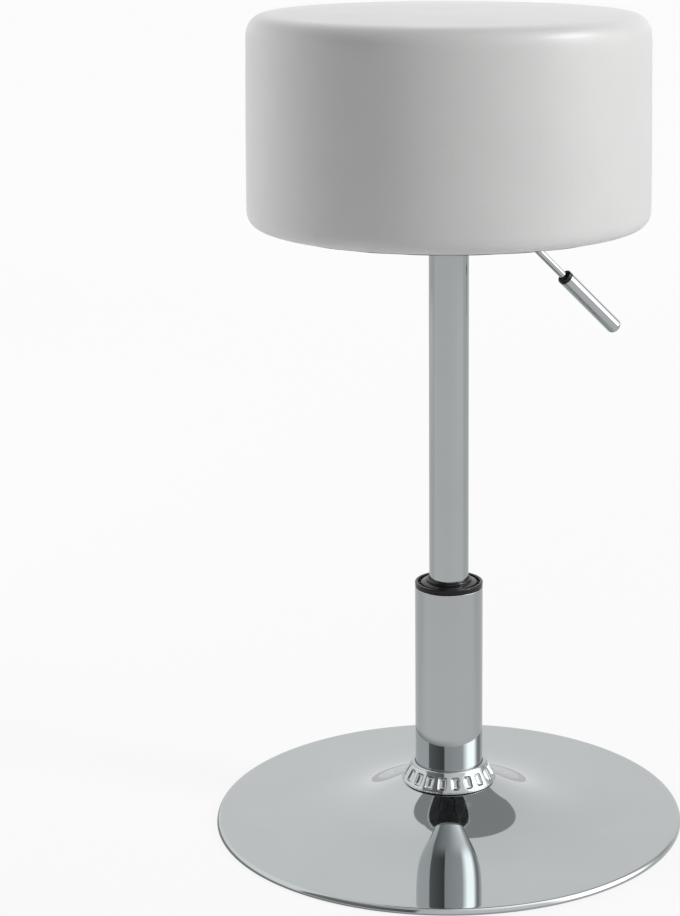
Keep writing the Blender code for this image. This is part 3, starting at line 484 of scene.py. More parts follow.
# Lift cylinder. A drawn tube of 29 mm, chrome plated, that holds the gas. Its lower end is rolled in over
# the rod's guide, and its upper end is tapered to wedge in the socket under the seat.
CYLINDER_WALL = 0.0022
CYLINDER_LIP = 0.0018
CYLINDER_LIP_HEIGHT = 0.0015
CYLINDER_TOP_RADIUS = 0.0133
CYLINDER_TAPER = 0.024
CYLINDER_EDGE = 0.0005

cylinder_low, cylinder_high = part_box("gas_cylinder")
cylinder_radius = cylinder_high.x
cylinder_bore = cylinder_radius - CYLINDER_WALL
lip_top = cylinder_low.z + CYLINDER_LIP_HEIGHT
cylinder_section = rounded([
    (CYLINDER_TOP_RADIUS, cylinder_high.z, CYLINDER_EDGE / 2),
    (cylinder_radius, cylinder_high.z - CYLINDER_TAPER, CYLINDER_EDGE),
    (cylinder_radius, cylinder_low.z, CYLINDER_EDGE),
    (cylinder_bore - CYLINDER_LIP, cylinder_low.z, CYLINDER_EDGE),
    (cylinder_bore - CYLINDER_LIP, lip_top, CYLINDER_EDGE / 2),
    (cylinder_bore, lip_top, CYLINDER_EDGE / 2),
    (cylinder_bore, cylinder_high.z, CYLINDER_EDGE / 2),
])
lift_cylinder = add_surface("lift_cylinder", turn(cylinder_section, TUBE_TURNS), True, chrome)
stand_for(lift_cylinder, "seat", "chrome", "gas_cylinder")

# Inside of the lift. A plastic guide and a rubber seal round the rod at the bottom, and a brass valve at
# the top whose steel pin the lever presses to let the gas through.
dress(plastic, "cylinder_end_guide")
dress(rubber, "rod_seal")
dress(brass, "valve_body")
dress(zinc, "valve_pin")

# Seat plate, socket and lever bracket. Pressed steel, welded together and powder coated black, and
# screwed under the seat board. The socket takes the taper of the lift.
PAINT_COLOUR = (0.018, 0.018, 0.019, 1.0)
PAINT_SCUFF_COLOUR = (0.040, 0.040, 0.041, 1.0)
PAINT_PEEL_SCALE = 650.0
PAINT_SCUFF_SCALE = 60.0

paint, place = new_finish("powder_coat", {"Specular IOR Level": 0.5})
orange_peel = place.noise(PAINT_PEEL_SCALE, 2.0)
scuffs = place.noise(PAINT_SCUFF_SCALE, 5.0).ramp(0.55, 0.8)
vary(paint, {
    "Base Color": scuffs.between(PAINT_COLOUR, PAINT_SCUFF_COLOUR),
    "Roughness": 0.38 + 0.16 * orange_peel,
    "Normal": orange_peel.bump(0.35, 0.0004),
})
dress(paint, "seat_plate", "taper_socket", "lever_bracket")

# Weld bead. A fillet of weld metal in the corner between the socket and the plate, laid in short overlapping
# ripples and painted over with them.
WELD_LEG = 0.0032
WELD_RIPPLES = 44
WELD_RIPPLE_HEIGHT = 0.00025
WELD_TURNS = 352
WELD_STEPS = 8
WELD_STAND_OFF = 0.0004
WELD_BITE = 0.0002

socket_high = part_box("taper_socket")[1]
plate_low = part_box("seat_plate")[0]
weld_middle = (socket_high.x + WELD_STAND_OFF, plate_low.z - WELD_STAND_OFF)
weld_face = ellipse_arc(weld_middle, (WELD_LEG, WELD_LEG), -90, 0, WELD_STEPS)
weld_inside = socket_high.x - WELD_BITE
weld_corner = np.array([[weld_inside, plate_low.z], [weld_inside, plate_low.z - WELD_LEG]])
weld_grid = turn(np.vstack([weld_face[::-1], weld_corner[::-1]]), WELD_TURNS)
weld_angles = np.arange(WELD_TURNS) * math.tau / WELD_TURNS
ripple = WELD_RIPPLE_HEIGHT * np.abs(np.sin(weld_angles * WELD_RIPPLES / 2))
weld_grid[1:WELD_STEPS, :, 0] += ripple * np.cos(weld_angles)
weld_grid[1:WELD_STEPS, :, 1] += ripple * np.sin(weld_angles)
weld_grid[1:WELD_STEPS, :, 2] -= ripple
socket_weld = add_surface("socket_weld", weld_grid, True, paint)
stand_for(socket_weld, "seat", "black_paint")

# Seat screws and tee nuts. Four pan-head screws with hexagon sockets, zinc plated, pass through the plate
# into barbed tee nuts that were hammered into the board from above.
SCREW_SHANK = 0.003
SCREW_HEAD = 0.0055
SCREW_HEAD_HEIGHT = 0.0032
SCREW_HEAD_ROUND = 0.0014
SCREW_KEY = 0.0020
SCREW_KEY_DEPTH = 0.0019
SCREW_THREAD_PITCH = 0.001
SCREW_THREAD_DEPTH = 0.00025
SCREW_THREAD_ROWS = 90
SCREW_EDGE = 0.0002
SCREW_KEY_EDGE = 0.0001
SCREW_TURNS = 48


def seat_screw(name, node):
    """Screw about its own axis: a pan head with a six-sided key hole, and a shank whose radius
    falls and rises once a turn along a helix."""
    low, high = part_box(node)
    head_top = low.z + SCREW_HEAD_HEIGHT
    head = rounded([
        (SCREW_HEAD, head_top, SCREW_EDGE), (SCREW_HEAD, low.z, SCREW_HEAD_ROUND),
        (SCREW_KEY, low.z, SCREW_KEY_EDGE), (SCREW_KEY, low.z + SCREW_KEY_DEPTH, SCREW_KEY_EDGE),
        (0.0, low.z + SCREW_KEY_DEPTH, 0.0), (0.0, head_top, 0.0),
    ])[:2 - 2 * CORNER_POINTS]
    shank_heights = np.linspace(high.z, head_top, SCREW_THREAD_ROWS)
    shank = np.stack([np.full(SCREW_THREAD_ROWS, SCREW_SHANK), shank_heights], axis=-1)
    grid = turn(np.vstack([[(0.0, high.z)], shank, head]), SCREW_TURNS)
    angles = np.arange(SCREW_TURNS) * math.tau / SCREW_TURNS
    wave = np.cos(angles - shank_heights[:, None] * math.tau / SCREW_THREAD_PITCH)
    shank_end = SCREW_THREAD_ROWS + 1
    grid[1:shank_end, :, :2] *= (1.0 - SCREW_THREAD_DEPTH / SCREW_SHANK * (0.5 + 0.5 * wave))[..., None]
    key_rows = np.hypot(grid[:, 0, 0], grid[:, 0, 1]) < SCREW_KEY + SCREW_EDGE
    key_rows[:shank_end] = False
    six_sided = np.cos(math.pi / 6) / np.cos((angles + math.pi / 6) % (math.pi / 3) - math.pi / 6)
    grid[key_rows, :, :2] *= six_sided[:, None]
    grid += np.array([(low.x + high.x) / 2, (low.y + high.y) / 2, 0.0])
    screw = add_surface(name, grid, False, zinc)
    stand_for(screw, "seat", "bright_steel", node)


for number in (1, 2, 3, 4):
    seat_screw(f"seat_screw_{number}", f"plate_screw_{number}")
dress(zinc, "tee_nut_1", "tee_nut_2", "tee_nut_3", "tee_nut_4")

# Seat board. A disc of birch plywood, sawn and drilled, that carries the upholstery. Its face grain runs
# along X, and it is left bare.
PLY_COLOUR = (0.56, 0.41, 0.25, 1.0)
PLY_GRAIN_COLOUR = (0.40, 0.26, 0.14, 1.0)
PLY_FIBRE_SCALES = (14.0, 420.0, 420.0)
PLY_FIGURE_SCALES = (3.0, 26.0, 40.0)

plywood, place = new_finish("birch_plywood", {"Specular IOR Level": 0.3})
fibres = place.stretched(*PLY_FIBRE_SCALES).noise(1.0, 5.0)
figure = place.stretched(*PLY_FIGURE_SCALES).noise(1.0, 3.0)
vary(plywood, {
    "Base Color": (0.55 * fibres + 0.45 * figure).ramp(0.35, 0.7).between(PLY_COLOUR, PLY_GRAIN_COLOUR),
    "Roughness": 0.58 + 0.2 * fibres,
    "Normal": fibres.bump(0.25, 0.0003),
})
dress(plywood, "seat_board")

# Foam. A thick block of cream upholstery foam, cut round and glued to the board, with the cover drawn
# tight over it.
SEAT_TOP_ROUND = 0.0136
SEAT_BOTTOM_ROUND = 0.0096
FOAM_INSET = 0.0042
FOAM_BOTTOM_ROUND = 0.002
FOAM_CELL_SCALE = 900.0
FOAM_COLOUR = (0.82, 0.76, 0.58, 1.0)
FOAM_CELL_COLOUR = (0.62, 0.54, 0.36, 1.0)
FOAM_TURNS = 96

foam, place = new_finish("seat_foam", {"Specular IOR Level": 0.2})
cells = place.node("TexVoronoi", {}, {"Vector": place, "Scale": FOAM_CELL_SCALE})
vary(foam, {
    "Base Color": cells.ramp(0.2, 0.7).between(FOAM_CELL_COLOUR, FOAM_COLOUR),
    "Roughness": 0.8 + 0.15 * cells,
    "Normal": cells.bump(0.5, 0.0005),
})

cover_low, cover_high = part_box("seat_cover")
foam_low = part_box("foam_pad")[0]
foam_radius = cover_high.x - FOAM_INSET
foam_top = cover_high.z - FOAM_INSET
foam_section = rounded([
    (foam_radius, foam_top, SEAT_TOP_ROUND), (foam_radius, foam_low.z, FOAM_BOTTOM_ROUND),
    (0.0, foam_low.z, 0.0), (0.0, foam_top, 0.0),
])[:2 * CORNER_POINTS]
foam_section = np.vstack([[(0.0, foam_top)], foam_section, [(0.0, foam_low.z)]])
foam_block = add_surface("foam_block", turn(foam_section, FOAM_TURNS), False, foam)
stand_for(foam_block, "seat", "seat_foam", "foam_pad")

# Cover. White grained vinyl on a knitted back, drawn over the foam as one tight skin, turned in under the
# board and stapled. It swells a little between its edges, as the foam presses it out.
COVER_THICKNESS = 0.0012
COVER_HEM_RADIUS = 0.1079
COVER_CROWN = 0.0025
COVER_HEM_OUT = 0.0003
COVER_TAPER = 0.0014
COVER_BULGE = 0.0003
COVER_STEP = 0.0045
COVER_TURNS = 144
COVER_WALL_ROWS = 26
COVER_ROUND_STEPS = 16
COVER_FRAMES = 20
COVER_PRESSURE = 3.0
COVER_HELD_PAST = 0.003
VINYL_COLOUR = (0.80, 0.80, 0.795, 1.0)
VINYL_SHADE_COLOUR = (0.775, 0.775, 0.77, 1.0)
VINYL_PEBBLE_SCALE = 950.0
VINYL_CREASE_SCALE = 1500.0
VINYL_CLOUD_SCALE = 22.0

vinyl, place = new_finish("grained_vinyl", {"Specular IOR Level": 0.45})
pebbles = place.node("TexVoronoi", {"feature": "SMOOTH_F1"}, {"Vector": place, "Scale": VINYL_PEBBLE_SCALE})
creases = place.noise(VINYL_CREASE_SCALE, 3.0)
hide_grain = 0.7 * pebbles + 0.3 * creases
cloudy = place.noise(VINYL_CLOUD_SCALE, 4.0)
vary(vinyl, {
    "Base Color": (0.6 * cloudy + 0.4 * hide_grain).ramp(0.3, 0.7).between(VINYL_COLOUR, VINYL_SHADE_COLOUR),
    "Roughness": 0.32 + 0.08 * cloudy + 0.06 * hide_grain,
    "Normal": hide_grain.bump(0.35, 0.00025),
})


def spread(section, step):
    """Points evenly spaced along a section, about a step apart, with both its ends."""
    lengths = np.concatenate([[0.0], np.cumsum(np.linalg.norm(np.diff(section, axis=0), axis=1))])
    marks = np.linspace(0.0, lengths[-1], round(lengths[-1] / step) + 1)
    return np.stack([np.interp(marks, lengths, section[:, axis]) for axis in (0, 1)], axis=-1)


def swelled(piece, is_free, pressure, furthest):
    """Cloth under inside pressure for COVER_FRAMES frames, held where it isn't free.

    What it moves is then scaled, so that the point that went furthest has gone that far.
    """
    scene = bpy.context.scene
    mesh = piece.data
    start = np.empty(len(mesh.vertices) * 3)
    mesh.vertices.foreach_get("co", start)
    free = is_free(start.reshape(-1, 3))
    held = piece.vertex_groups.new(name="held")
    held.add(np.flatnonzero(~free).tolist(), 1.0, "REPLACE")
    cloth = piece.modifiers.new("cloth", "CLOTH")
    cloth.settings.vertex_group_mass = "held"
    cloth.settings.use_pressure = True
    cloth.settings.uniform_pressure_force = pressure
    cloth.settings.effector_weights.gravity = 0.0
    for step in range(1, COVER_FRAMES + 1):
        scene.frame_set(step)
    view = bpy.context.evaluated_depsgraph_get()
    end = np.empty_like(start)
    piece.evaluated_get(view).data.vertices.foreach_get("co", end)
    move = end - start
    move *= furthest / np.linalg.norm(move.reshape(-1, 3), axis=1).max()
    piece.modifiers.clear()
    piece.vertex_groups.clear()
    mesh.vertices.foreach_set("co", start + move)
    scene.frame_set(1)


def cover_is_free(points):
    """True on the flat top and on the straight wall, a little clear of the rounded edges."""
    radius, height = np.hypot(points[:, 0], points[:, 1]), points[:, 2]
    on_top = (radius < top_round_centre[0] - COVER_HELD_PAST) & (height > top_round_centre[1])
    under_top = height < top_round_centre[1] - COVER_HELD_PAST
    on_wall = under_top & (height > bottom_round_centre[1] + COVER_HELD_PAST)
    return on_top | on_wall


cover_wall = cover_high.x + COVER_HEM_OUT
cover_rim = cover_high.z - COVER_CROWN
top_round_centre = (cover_wall - COVER_TAPER - SEAT_TOP_ROUND, cover_rim - SEAT_TOP_ROUND)
bottom_round_centre = (cover_wall - SEAT_BOTTOM_ROUND, cover_low.z + SEAT_BOTTOM_ROUND)
wall_shares = np.linspace(0.0, 1.0, COVER_WALL_ROWS)[1:-1]
wall_radii = cover_wall - COVER_TAPER * (1.0 - wall_shares) + COVER_BULGE * np.sin(math.pi * wall_shares)
wall_heights = top_round_centre[1] + wall_shares * (bottom_round_centre[1] - top_round_centre[1])
cover_section = spread(np.vstack([
    [(0.0, cover_rim)],
    ellipse_arc(top_round_centre, (SEAT_TOP_ROUND, SEAT_TOP_ROUND), 90, 0, COVER_ROUND_STEPS),
    np.stack([wall_radii, wall_heights], axis=-1),
    ellipse_arc(bottom_round_centre, (SEAT_BOTTOM_ROUND, SEAT_BOTTOM_ROUND), 0, -90, COVER_ROUND_STEPS),
    [(COVER_HEM_RADIUS, cover_low.z)],
]), COVER_STEP)
vinyl_cover = add_surface("vinyl_cover", turn(cover_section, COVER_TURNS), False, vinyl)
swelled(vinyl_cover, cover_is_free, COVER_PRESSURE, COVER_CROWN)
thickness = vinyl_cover.modifiers.new("thickness", "SOLIDIFY")
thickness.thickness = COVER_THICKNESS
thickness.offset = -1.0
smooth = vinyl_cover.modifiers.new("smooth", "SUBSURF")
smooth.levels = smooth.render_levels = 1
stand_for(vinyl_cover, "seat", "white_vinyl", "seat_cover")

# Dust cloth. A round of thin black felted cloth, stretched over the whole underside, cut out round the plate
# and stapled through the turned-in edge of the cover, with a shallow pucker between each two staples.
STAPLE_COUNT = 24
CLOTH_RADIUS = 0.131
CLOTH_WINDOW = 0.1406
CLOTH_WINDOW_CORNER = 0.0223
CLOTH_THICKNESS = 0.0005
CLOTH_PUCKER = 0.0009
CLOTH_PUCKER_FADE = 1.2
CLOTH_ROWS = 26
CLOTH_TURNS = STAPLE_COUNT * 12
CLOTH_COLOUR = (0.055, 0.055, 0.056, 1.0)
CLOTH_FIBRE_COLOUR = (0.085, 0.085, 0.086, 1.0)
CLOTH_STRAND_SCALES = (500.0, 2600.0, 900.0)
CLOTH_DIMPLE_SCALE = 620.0

felt, place = new_finish("felted_cloth", {"Specular IOR Level": 0.15, "Sheen Weight": 0.25})
strands = place.stretched(*CLOTH_STRAND_SCALES).noise(1.0, 4.0)
dimples = place.node("TexVoronoi", {}, {"Vector": place, "Scale": CLOTH_DIMPLE_SCALE, "Randomness": 0.15})
vary(felt, {
    "Base Color": strands.ramp(0.4, 0.7).between(CLOTH_COLOUR, CLOTH_FIBRE_COLOUR),
    "Roughness": 0.8 + 0.15 * strands,
    "Normal": (0.5 * strands + dimples).bump(0.4, 0.0003),
})


def square_reach(angles, size, corner):
    """Distance from the middle of a square with rounded corners to its edge, at each angle."""
    folded = np.abs((angles + math.pi / 4) % (math.pi / 2) - math.pi / 4)
    inner = size / 2 - corner
    aside = math.sqrt(2.0) * inner * np.sin(math.pi / 4 - folded)
    ahead = math.sqrt(2.0) * inner * np.cos(math.pi / 4 - folded)
    on_corner = ahead + np.sqrt(np.maximum(corner**2 - aside**2, 0.0))
    return np.where(size / 2 * np.tan(folded) > inner, on_corner, size / 2 / np.cos(folded))


dust_low, dust_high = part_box("dust_cover")
lever_joint = next(joint for joint in frame["joints"] if joint["name"] == "lever_lift")
lever_out = np.cross((0.0, 0.0, 1.0), lever_joint["axis"])
plate_turn = math.atan2(lever_out[1], lever_out[0])
cloth_angles = np.arange(CLOTH_TURNS) * math.tau / CLOTH_TURNS
cloth_inner = square_reach(cloth_angles - plate_turn, CLOTH_WINDOW, CLOTH_WINDOW_CORNER)
cloth_shares = np.linspace(1.0, 0.0, CLOTH_ROWS)[:, None]
cloth_radii = cloth_inner + cloth_shares * (CLOTH_RADIUS - cloth_inner)
pucker = np.sin(cloth_angles * STAPLE_COUNT / 2) ** 2 * cloth_shares * (CLOTH_PUCKER_FADE - cloth_shares)
hang = dust_high.z - CLOTH_THICKNESS - CLOTH_PUCKER * pucker
cloth_grid = np.stack([cloth_radii * np.cos(cloth_angles), cloth_radii * np.sin(cloth_angles), hang], axis=-1)
dust_cloth = add_surface("dust_cloth", cloth_grid, False, felt)
weight = dust_cloth.modifiers.new("thickness", "SOLIDIFY")
weight.thickness = CLOTH_THICKNESS
weight.offset = -1.0
stand_for(dust_cloth, "seat", "dust_cloth", "dust_cover")

# Staples. Flat wire staples, shot through the dust cloth and the hem into the board. Only their crowns show.
STAPLE_CIRCLE = 0.1245
STAPLE_CROWN = 0.0098
STAPLE_LEG = 0.0016
STAPLE_BEND = 0.0006
STAPLE_BEND_STEPS = 4
STAPLE_WIRE = 0.00045
STAPLE_SIDES = 8


def bent_wire(points, wire, sides):
    """Round wire along a flat path (along, up), with a third direction square to both.

    At each point of the path there is a circle of the wire's radius, square to the path. Both ends
    are drawn in to a point.
    """
    heading = np.gradient(points, axis=0)
    heading /= np.linalg.norm(heading, axis=1, keepdims=True)
    angles = np.linspace(0.0, math.tau, sides, endpoint=False)
    raised = wire * np.cos(angles)
    aside = np.broadcast_to(wire * np.sin(angles), (len(points), sides))
    ring = np.stack([points[:, :1] - heading[:, 1:] * raised, aside,
                     points[:, 1:] + heading[:, :1] * raised], axis=-1)
    ends = np.broadcast_to(ring[[0, -1]].mean(axis=1, keepdims=True), (2, sides, 3))
    return np.concatenate([ends[:1], ring, ends[1:]])


def set_in(grid, origin, *axes):
    """The grid moved from its own three directions to the given ones, at an origin."""
    return np.asarray(origin) + grid @ np.array(axes)


staple_turns = np.arange(STAPLE_COUNT) * math.tau / STAPLE_COUNT
staple_arc = ellipse_arc((STAPLE_CROWN / 2 - STAPLE_BEND, STAPLE_BEND), (STAPLE_BEND, STAPLE_BEND),
                         -90, 0, STAPLE_BEND_STEPS)
staple_half = np.vstack([staple_arc, [(STAPLE_CROWN / 2, STAPLE_LEG)]])
staple_path = np.vstack([staple_half[::-1] * (-1.0, 1.0), staple_half])
staple = bent_wire(staple_path, STAPLE_WIRE, STAPLE_SIDES)
staple_outs = np.stack([np.cos(staple_turns), np.sin(staple_turns)], axis=-1)[:, None, None]
staple_grid = np.empty((STAPLE_COUNT, *staple.shape))
staple_along, staple_reach = staple[..., 0], STAPLE_CIRCLE - staple[..., 1]
staple_grid[..., 0] = staple_outs[..., 0] * staple_reach - staple_outs[..., 1] * staple_along
staple_grid[..., 1] = staple_outs[..., 1] * staple_reach + staple_outs[..., 0] * staple_along
staple_grid[..., 2] = dust_low.z - STAPLE_WIRE + staple[..., 2]
dust_staples = add_surface("dust_staples", staple_grid, False, zinc)
stand_for(dust_staples, "seat", "bright_steel")

# Release lever. A chromed rod of 5.6 mm, bent down at the knee and pressed into a steel tongue, which turns
# on a pin in the bracket and pushes the valve's pin.
LEVER_DROP = math.radians(44.1)
LEVER_ROD_RADIUS = 0.0028
LEVER_BEND = 0.008
LEVER_START = 0.0098
LEVER_KNEE = 0.0144
LEVER_SHANK = 0.0789
LEVER_IN_GRIP = 0.0217
LEVER_KNEE_STEPS = 14
LEVER_SIDES = 32
LEVER_HOLD = 0.0004

dress(zinc, "release_tongue", "lever_pivot_pin")
lever_pivot = np.array(lever_joint["pos_m"])
lever_side = np.array(lever_joint["axis"])
bend_start = LEVER_KNEE - LEVER_BEND * math.tan(LEVER_DROP / 2)
lever_fall = np.array([math.cos(LEVER_DROP), -math.sin(LEVER_DROP)])
lever_knee = ellipse_arc((bend_start, -LEVER_BEND), (LEVER_BEND, LEVER_BEND),
                         90, 90 - math.degrees(LEVER_DROP), LEVER_KNEE_STEPS)
lever_tip = np.array([LEVER_KNEE, 0.0]) + lever_fall * (LEVER_SHANK + LEVER_IN_GRIP)
lever_path = np.vstack([
    [(LEVER_START, 0.0), (LEVER_START + LEVER_HOLD, 0.0), (bend_start - LEVER_HOLD, 0.0)], lever_knee,
    lever_knee[-1:] + lever_fall * LEVER_HOLD, [lever_tip - lever_fall * LEVER_HOLD, lever_tip],
])
lever_grid = set_in(bent_wire(lever_path, LEVER_ROD_RADIUS, LEVER_SIDES), lever_pivot,
                    lever_out, -lever_side, (0.0, 0.0, 1.0))
lever_shank = add_surface("lever_shank", lever_grid, False, chrome)
stand_for(lever_shank, "lever", "chrome", "lever_rod")

# Handle. A turned steel grip, polished and chromed, bored to take the end of the rod, with a black plastic
# ferrule between it and the bare rod.
HANDLE_RADIUS = 0.0057
HANDLE_LENGTH = 0.0635
HANDLE_BORE = 0.0031
HANDLE_BORE_DEPTH = 0.022
HANDLE_END_ROUND = 0.0042
HANDLE_EDGE = 0.0003
HANDLE_BORE_EDGE = 0.0001
HANDLE_HOLD = 0.0004
HANDLE_TIP_STEPS = 14
HANDLE_TURNS = 64
FERRULE_LENGTH = 0.0034
FERRULE_ROUND = 0.0014
FERRULE_GAP = 0.0003

handle_axes = [
    lever_out * -lever_fall[1] + np.array([0.0, 0.0, lever_fall[0]]),
    lever_side,
    lever_out * lever_fall[0] + np.array([0.0, 0.0, lever_fall[1]]),
]
handle_place = lever_pivot + lever_out * LEVER_KNEE + LEVER_SHANK * handle_axes[2]
handle_shoulder = HANDLE_LENGTH - HANDLE_END_ROUND
handle_tip = ellipse_arc((0.0, handle_shoulder), (HANDLE_RADIUS, HANDLE_END_ROUND), 90, 0, HANDLE_TIP_STEPS)
handle_mouth = FERRULE_LENGTH + FERRULE_GAP
handle_rest = rounded([
    (HANDLE_RADIUS, HANDLE_LENGTH, 0.0), (HANDLE_RADIUS, handle_mouth, HANDLE_EDGE),
    (HANDLE_BORE, handle_mouth, HANDLE_EDGE), (HANDLE_BORE, HANDLE_BORE_DEPTH, HANDLE_BORE_EDGE),
    (0.0, HANDLE_BORE_DEPTH, 0.0),
])[CORNER_POINTS:2 - CORNER_POINTS]
handle_section = np.vstack([handle_tip, [(HANDLE_RADIUS, handle_shoulder - HANDLE_HOLD)], handle_rest])
handle_grid = set_in(turn(handle_section, HANDLE_TURNS), handle_place, *handle_axes)
lever_handle = add_surface("lever_handle", handle_grid, False, chrome)
stand_for(lever_handle, "lever", "chrome", "lever_grip")

ferrule_section = rounded([
    (HANDLE_RADIUS, FERRULE_LENGTH, HANDLE_EDGE), (HANDLE_RADIUS, 0.0, FERRULE_ROUND),
    (HANDLE_BORE, 0.0, HANDLE_EDGE), (HANDLE_BORE, FERRULE_LENGTH, HANDLE_EDGE),
])
ferrule_grid = set_in(turn(ferrule_section, HANDLE_TURNS), handle_place, *handle_axes)
handle_ferrule = add_surface("handle_ferrule", ferrule_grid, True, plastic)
stand_for(handle_ferrule, "lever", "black_plastic", "grip_ferrule")

# Floor. A wide pale sweep of studio paper that runs out of sight. It is white to the eye, and a little darker
# in the chrome, with a painted shadow beside the foot on the side away from the light.
FLOOR_HALF = 60.0
FLOOR_COLOUR = (0.8, 0.8, 0.8, 1.0)
FLOOR_SHOWN = (0.86, 0.96)
FLOOR_IN_CHROME = 0.84
FLOOR_IN_CHROME_BEHIND = 0.70
FLOOR_PAINTED_SHADOW_DEPTH = 0.65
FLOOR_PAINTED_SHADOW_SQUARES = (0.032, 0.040)
FLOOR_PAINTED_SHADOW_ACROSS = (-0.15, 0.20)
FLOOR_BEHIND = (-0.1, 0.15)
FLOOR_FAR = (0.3, 3.0)


def of_rays(tree, *kinds):
    """1 for rays of the given kinds, and 0 for the others."""
    light_path = tree.nodes.new("ShaderNodeLightPath")
    found = Socket(tree, light_path.outputs[f"Is {kinds[0]} Ray"])
    for kind in kinds[1:]:
        found = found.math("MAXIMUM", found, Socket(tree, light_path.outputs[f"Is {kind} Ray"]))
    return found


floor_corners = [(-FLOOR_HALF, -FLOOR_HALF, 0.0), (FLOOR_HALF, -FLOOR_HALF, 0.0),
                 (FLOOR_HALF, FLOOR_HALF, 0.0), (-FLOOR_HALF, FLOOR_HALF, 0.0)]
floor_mesh = bpy.data.meshes.new("studio_floor")
floor_mesh.from_pydata(floor_corners, [], [(0, 1, 2, 3)])
paper, place = new_finish("studio_paper", {})
seen = of_rays(paper.node_tree, "Camera", "Transmission")
mirrored = of_rays(paper.node_tree, "Glossy")
across, back = [place.node("SeparateXYZ", {}, {"Vector": place}, output=axis) for axis in range(2)]
# Painted shadow in the floor as the chrome sees it: a ring beside the foot, darkest on the side away from the
# light.
painted_shadow_ring = 1.0 - (across * across + back * back).ramp(*FLOOR_PAINTED_SHADOW_SQUARES)
beside = painted_shadow_ring * (1.0 - across.ramp(*FLOOR_PAINTED_SHADOW_ACROSS))
mirrored_strength = FLOOR_IN_CHROME - (FLOOR_IN_CHROME - FLOOR_IN_CHROME_BEHIND) * back.ramp(*FLOOR_BEHIND)
mirrored_strength = mirrored_strength * (1.0 - FLOOR_PAINTED_SHADOW_DEPTH * beside)
shown = FLOOR_SHOWN[0] + (FLOOR_SHOWN[1] - FLOOR_SHOWN[0]) * back.ramp(*FLOOR_FAR)
pale = place.node("Emission", {}, {"Strength": seen + mirrored * mirrored_strength})
matte = place.node("BsdfDiffuse", {}, {"Color": FLOOR_COLOUR})
sweep = place.node("MixShader", {}, {0: shown * (seen + mirrored), 1: matte, 2: pale})
paper.node_tree.links.new(sweep.output, paper.node_tree.nodes["Material Output"].inputs["Surface"])
floor_mesh.materials.append(paper)
studio_floor = bpy.data.objects.new("studio_floor", floor_mesh)
bpy.context.scene.collection.objects.link(studio_floor)

# Studio. Only the chrome sees the walls: a black flag at the front left, a bright panel at the right with a
# dark gap behind it, a plain gradient above them and a grey ceiling at the back. A soft box lights the stool
# from the right, two weaker ones from behind, and a small one makes glints on the vinyl and the plastic.
ROOM_AMBIENT = 0.30
CEILING_STRENGTH = 0.40
CEILING_BACK = 0.45
CEILING_SIDES = 0.70
CEILING_ASKEW = (0.59, 0.755)
CEILING_RIGHT = 0.80
CEILING_FROM = (0.55, 0.60)
CEILING_EDGE = (0.0, 0.02)
WALL_TOP = (0.60, 0.80)
BACK_WALL = 1.0
LEFT_WALL = 1.25
BLACK_FLAG = (0.32, 0.15)
FRONT_WALL = (0.85, 1.1)
BRIGHT_PANEL = 4.0
DARK_GAP = 0.6
HIGH_FRONT = (0.4, 0.9, 2.4)
LOW_WALLS = [
    (-180, BACK_WALL), (-110, LEFT_WALL), (-75, LEFT_WALL), (-71, BLACK_FLAG[0]), (-16, BLACK_FLAG[1]),
    (-14, FRONT_WALL[0]), (48, FRONT_WALL[1]), (70, BRIGHT_PANEL), (95, BRIGHT_PANEL), (112, BACK_WALL),
    (120, DARK_GAP), (132, DARK_GAP), (138, BACK_WALL), (180, BACK_WALL),
]
HIGH_WALLS = [
    (-180, BACK_WALL), (-110, LEFT_WALL), (-80, LEFT_WALL), (-75, HIGH_FRONT[0]), (0, HIGH_FRONT[1]),
    (85, HIGH_FRONT[2]), (110, BACK_WALL), (180, BACK_WALL),
]
LAMPS = {
    "soft_box": ((1.80, -0.72, 1.45), (0.4, 1.2), 24.0),
    "rim_box": ((-1.75, 0.95, 0.85), (0.5, 1.2), 18.8),
    "back_box": ((0.1, 1.9, 2.1), (1.6, 1.2), 20.0),
    "glint_box": ((1.64, -0.215, 1.80), (0.40, 0.60), 19.0),
}
LAMP_AIM = np.array([0.0, 0.0, 0.45])


def banded(bearing, stops):
    """Strength of a wall that goes from stop to stop, each (degrees, strength), as the bearing turns."""
    bands = bearing.node("ValToRGB", {}, {"Fac": bearing})
    ramp = bands.output.node.color_ramp.elements
    for degrees, strength in stops[1:-1]:
        ramp.new(0.5 + degrees / 360).color = (strength, strength, strength, 1.0)
    for end, (degrees, strength) in zip((ramp[0], ramp[-1]), (stops[0], stops[-1])):
        end.color = (strength, strength, strength, 1.0)
    return bands


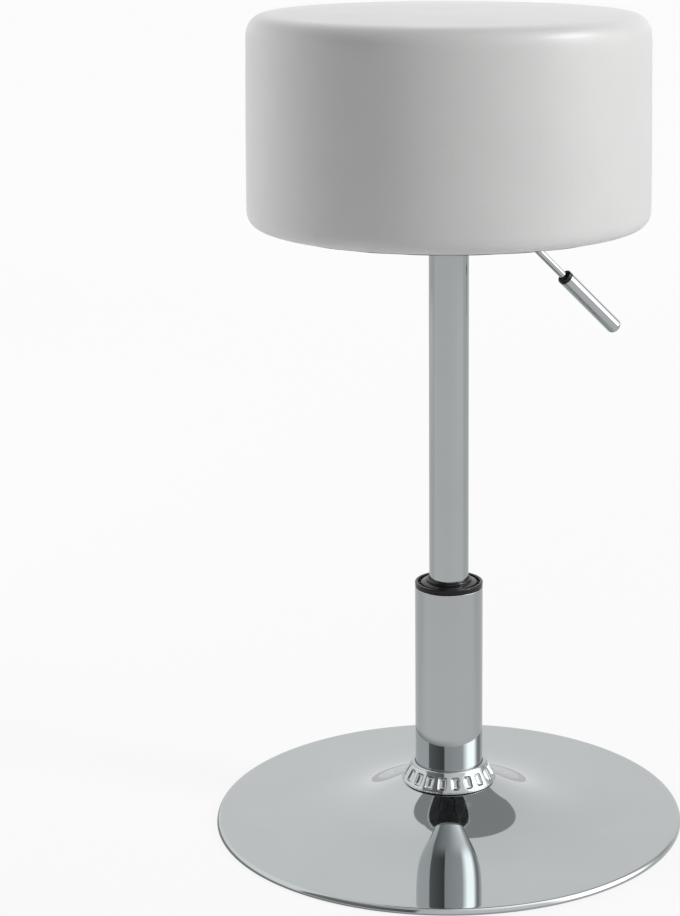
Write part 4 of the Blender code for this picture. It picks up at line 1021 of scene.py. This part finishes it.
room = bpy.data.worlds.new("studio_room")
room.use_nodes = True
bpy.context.scene.world = room
seen = of_rays(room.node_tree, "Camera", "Transmission")
mirrored = of_rays(room.node_tree, "Glossy")
heading = Socket(room.node_tree, room.node_tree.nodes.new("ShaderNodeTexCoord").outputs["Generated"])
across, back, up = [heading.node("SeparateXYZ", {}, {"Vector": heading}, output=axis) for axis in range(3)]
bearing = 0.5 + heading.math("ARCTAN2", across, 0.0 - back) * (0.5 / math.pi)
low_walls, high_walls = banded(bearing, LOW_WALLS), banded(bearing, HIGH_WALLS)
walls = low_walls + (high_walls - low_walls) * up.ramp(*WALL_TOP)
ceiling_edge = up.math("MAXIMUM", CEILING_BACK * up, CEILING_ASKEW[0] * up + CEILING_ASKEW[1] * across)
sideways = across.math("MAXIMUM", across, 0.0 - across)
behind = (back - CEILING_SIDES * sideways).ramp(*CEILING_EDGE) * up.ramp(*CEILING_FROM)
left_of_edge = (CEILING_RIGHT * up - across).ramp(*CEILING_EDGE)
ceiling = behind * (ceiling_edge - back).ramp(*CEILING_EDGE) * left_of_edge
in_chrome = walls * (1.0 - ceiling) + CEILING_STRENGTH * ceiling
strength = seen + mirrored * in_chrome + (1.0 - seen - mirrored) * ROOM_AMBIENT
room.node_tree.links.new(strength.output, room.node_tree.nodes["Background"].inputs["Strength"])
room.node_tree.nodes["Background"].inputs["Color"].default_value = (1.0, 1.0, 1.0, 1.0)

glossy_pieces = bpy.data.collections.new("glossy_pieces")
for piece in (vinyl_cover, lift_bush, tube_cap, handle_ferrule):
    glossy_pieces.objects.link(piece)
for name, (spot, size, power) in LAMPS.items():
    light = bpy.data.lights.new(name, "AREA")
    light.shape = "RECTANGLE"
    light.size, light.size_y = size
    light.energy = power
    lamp = bpy.data.objects.new(name, light)
    lamp.location = spot
    lamp.rotation_euler = Vector(LAMP_AIM - np.array(spot)).to_track_quat("-Z", "Y").to_euler()
    lamp.visible_camera = False
    lamp.visible_glossy = name == "glint_box"
    lamp.visible_diffuse = name != "glint_box"
    bpy.context.scene.collection.objects.link(lamp)
bpy.data.objects["glint_box"].light_linking.receiver_collection = glossy_pieces

# Camera. A long lens a little above the seat, tilted down and shifted so that the stool stands right of
# the middle, as in the photograph.
VIEW_DISTANCE = 1.6563
VIEW_HEIGHT = 0.7132
VIEW_TILT = math.radians(11.103)
VIEW_LENS = 92.03
VIEW_SHIFT = (-0.11886, -0.16424)

lens = bpy.data.cameras.new("view")
lens.lens = VIEW_LENS
lens.shift_x, lens.shift_y = VIEW_SHIFT
camera = bpy.data.objects.new("view", lens)
camera.location = (0.0, -VIEW_DISTANCE, VIEW_HEIGHT)
camera.rotation_euler = (math.pi / 2 - VIEW_TILT, 0.0, 0.0)
bpy.context.scene.collection.objects.link(camera)
bpy.context.scene.camera = camera
bpy.context.scene.view_settings.view_transform = "Standard"
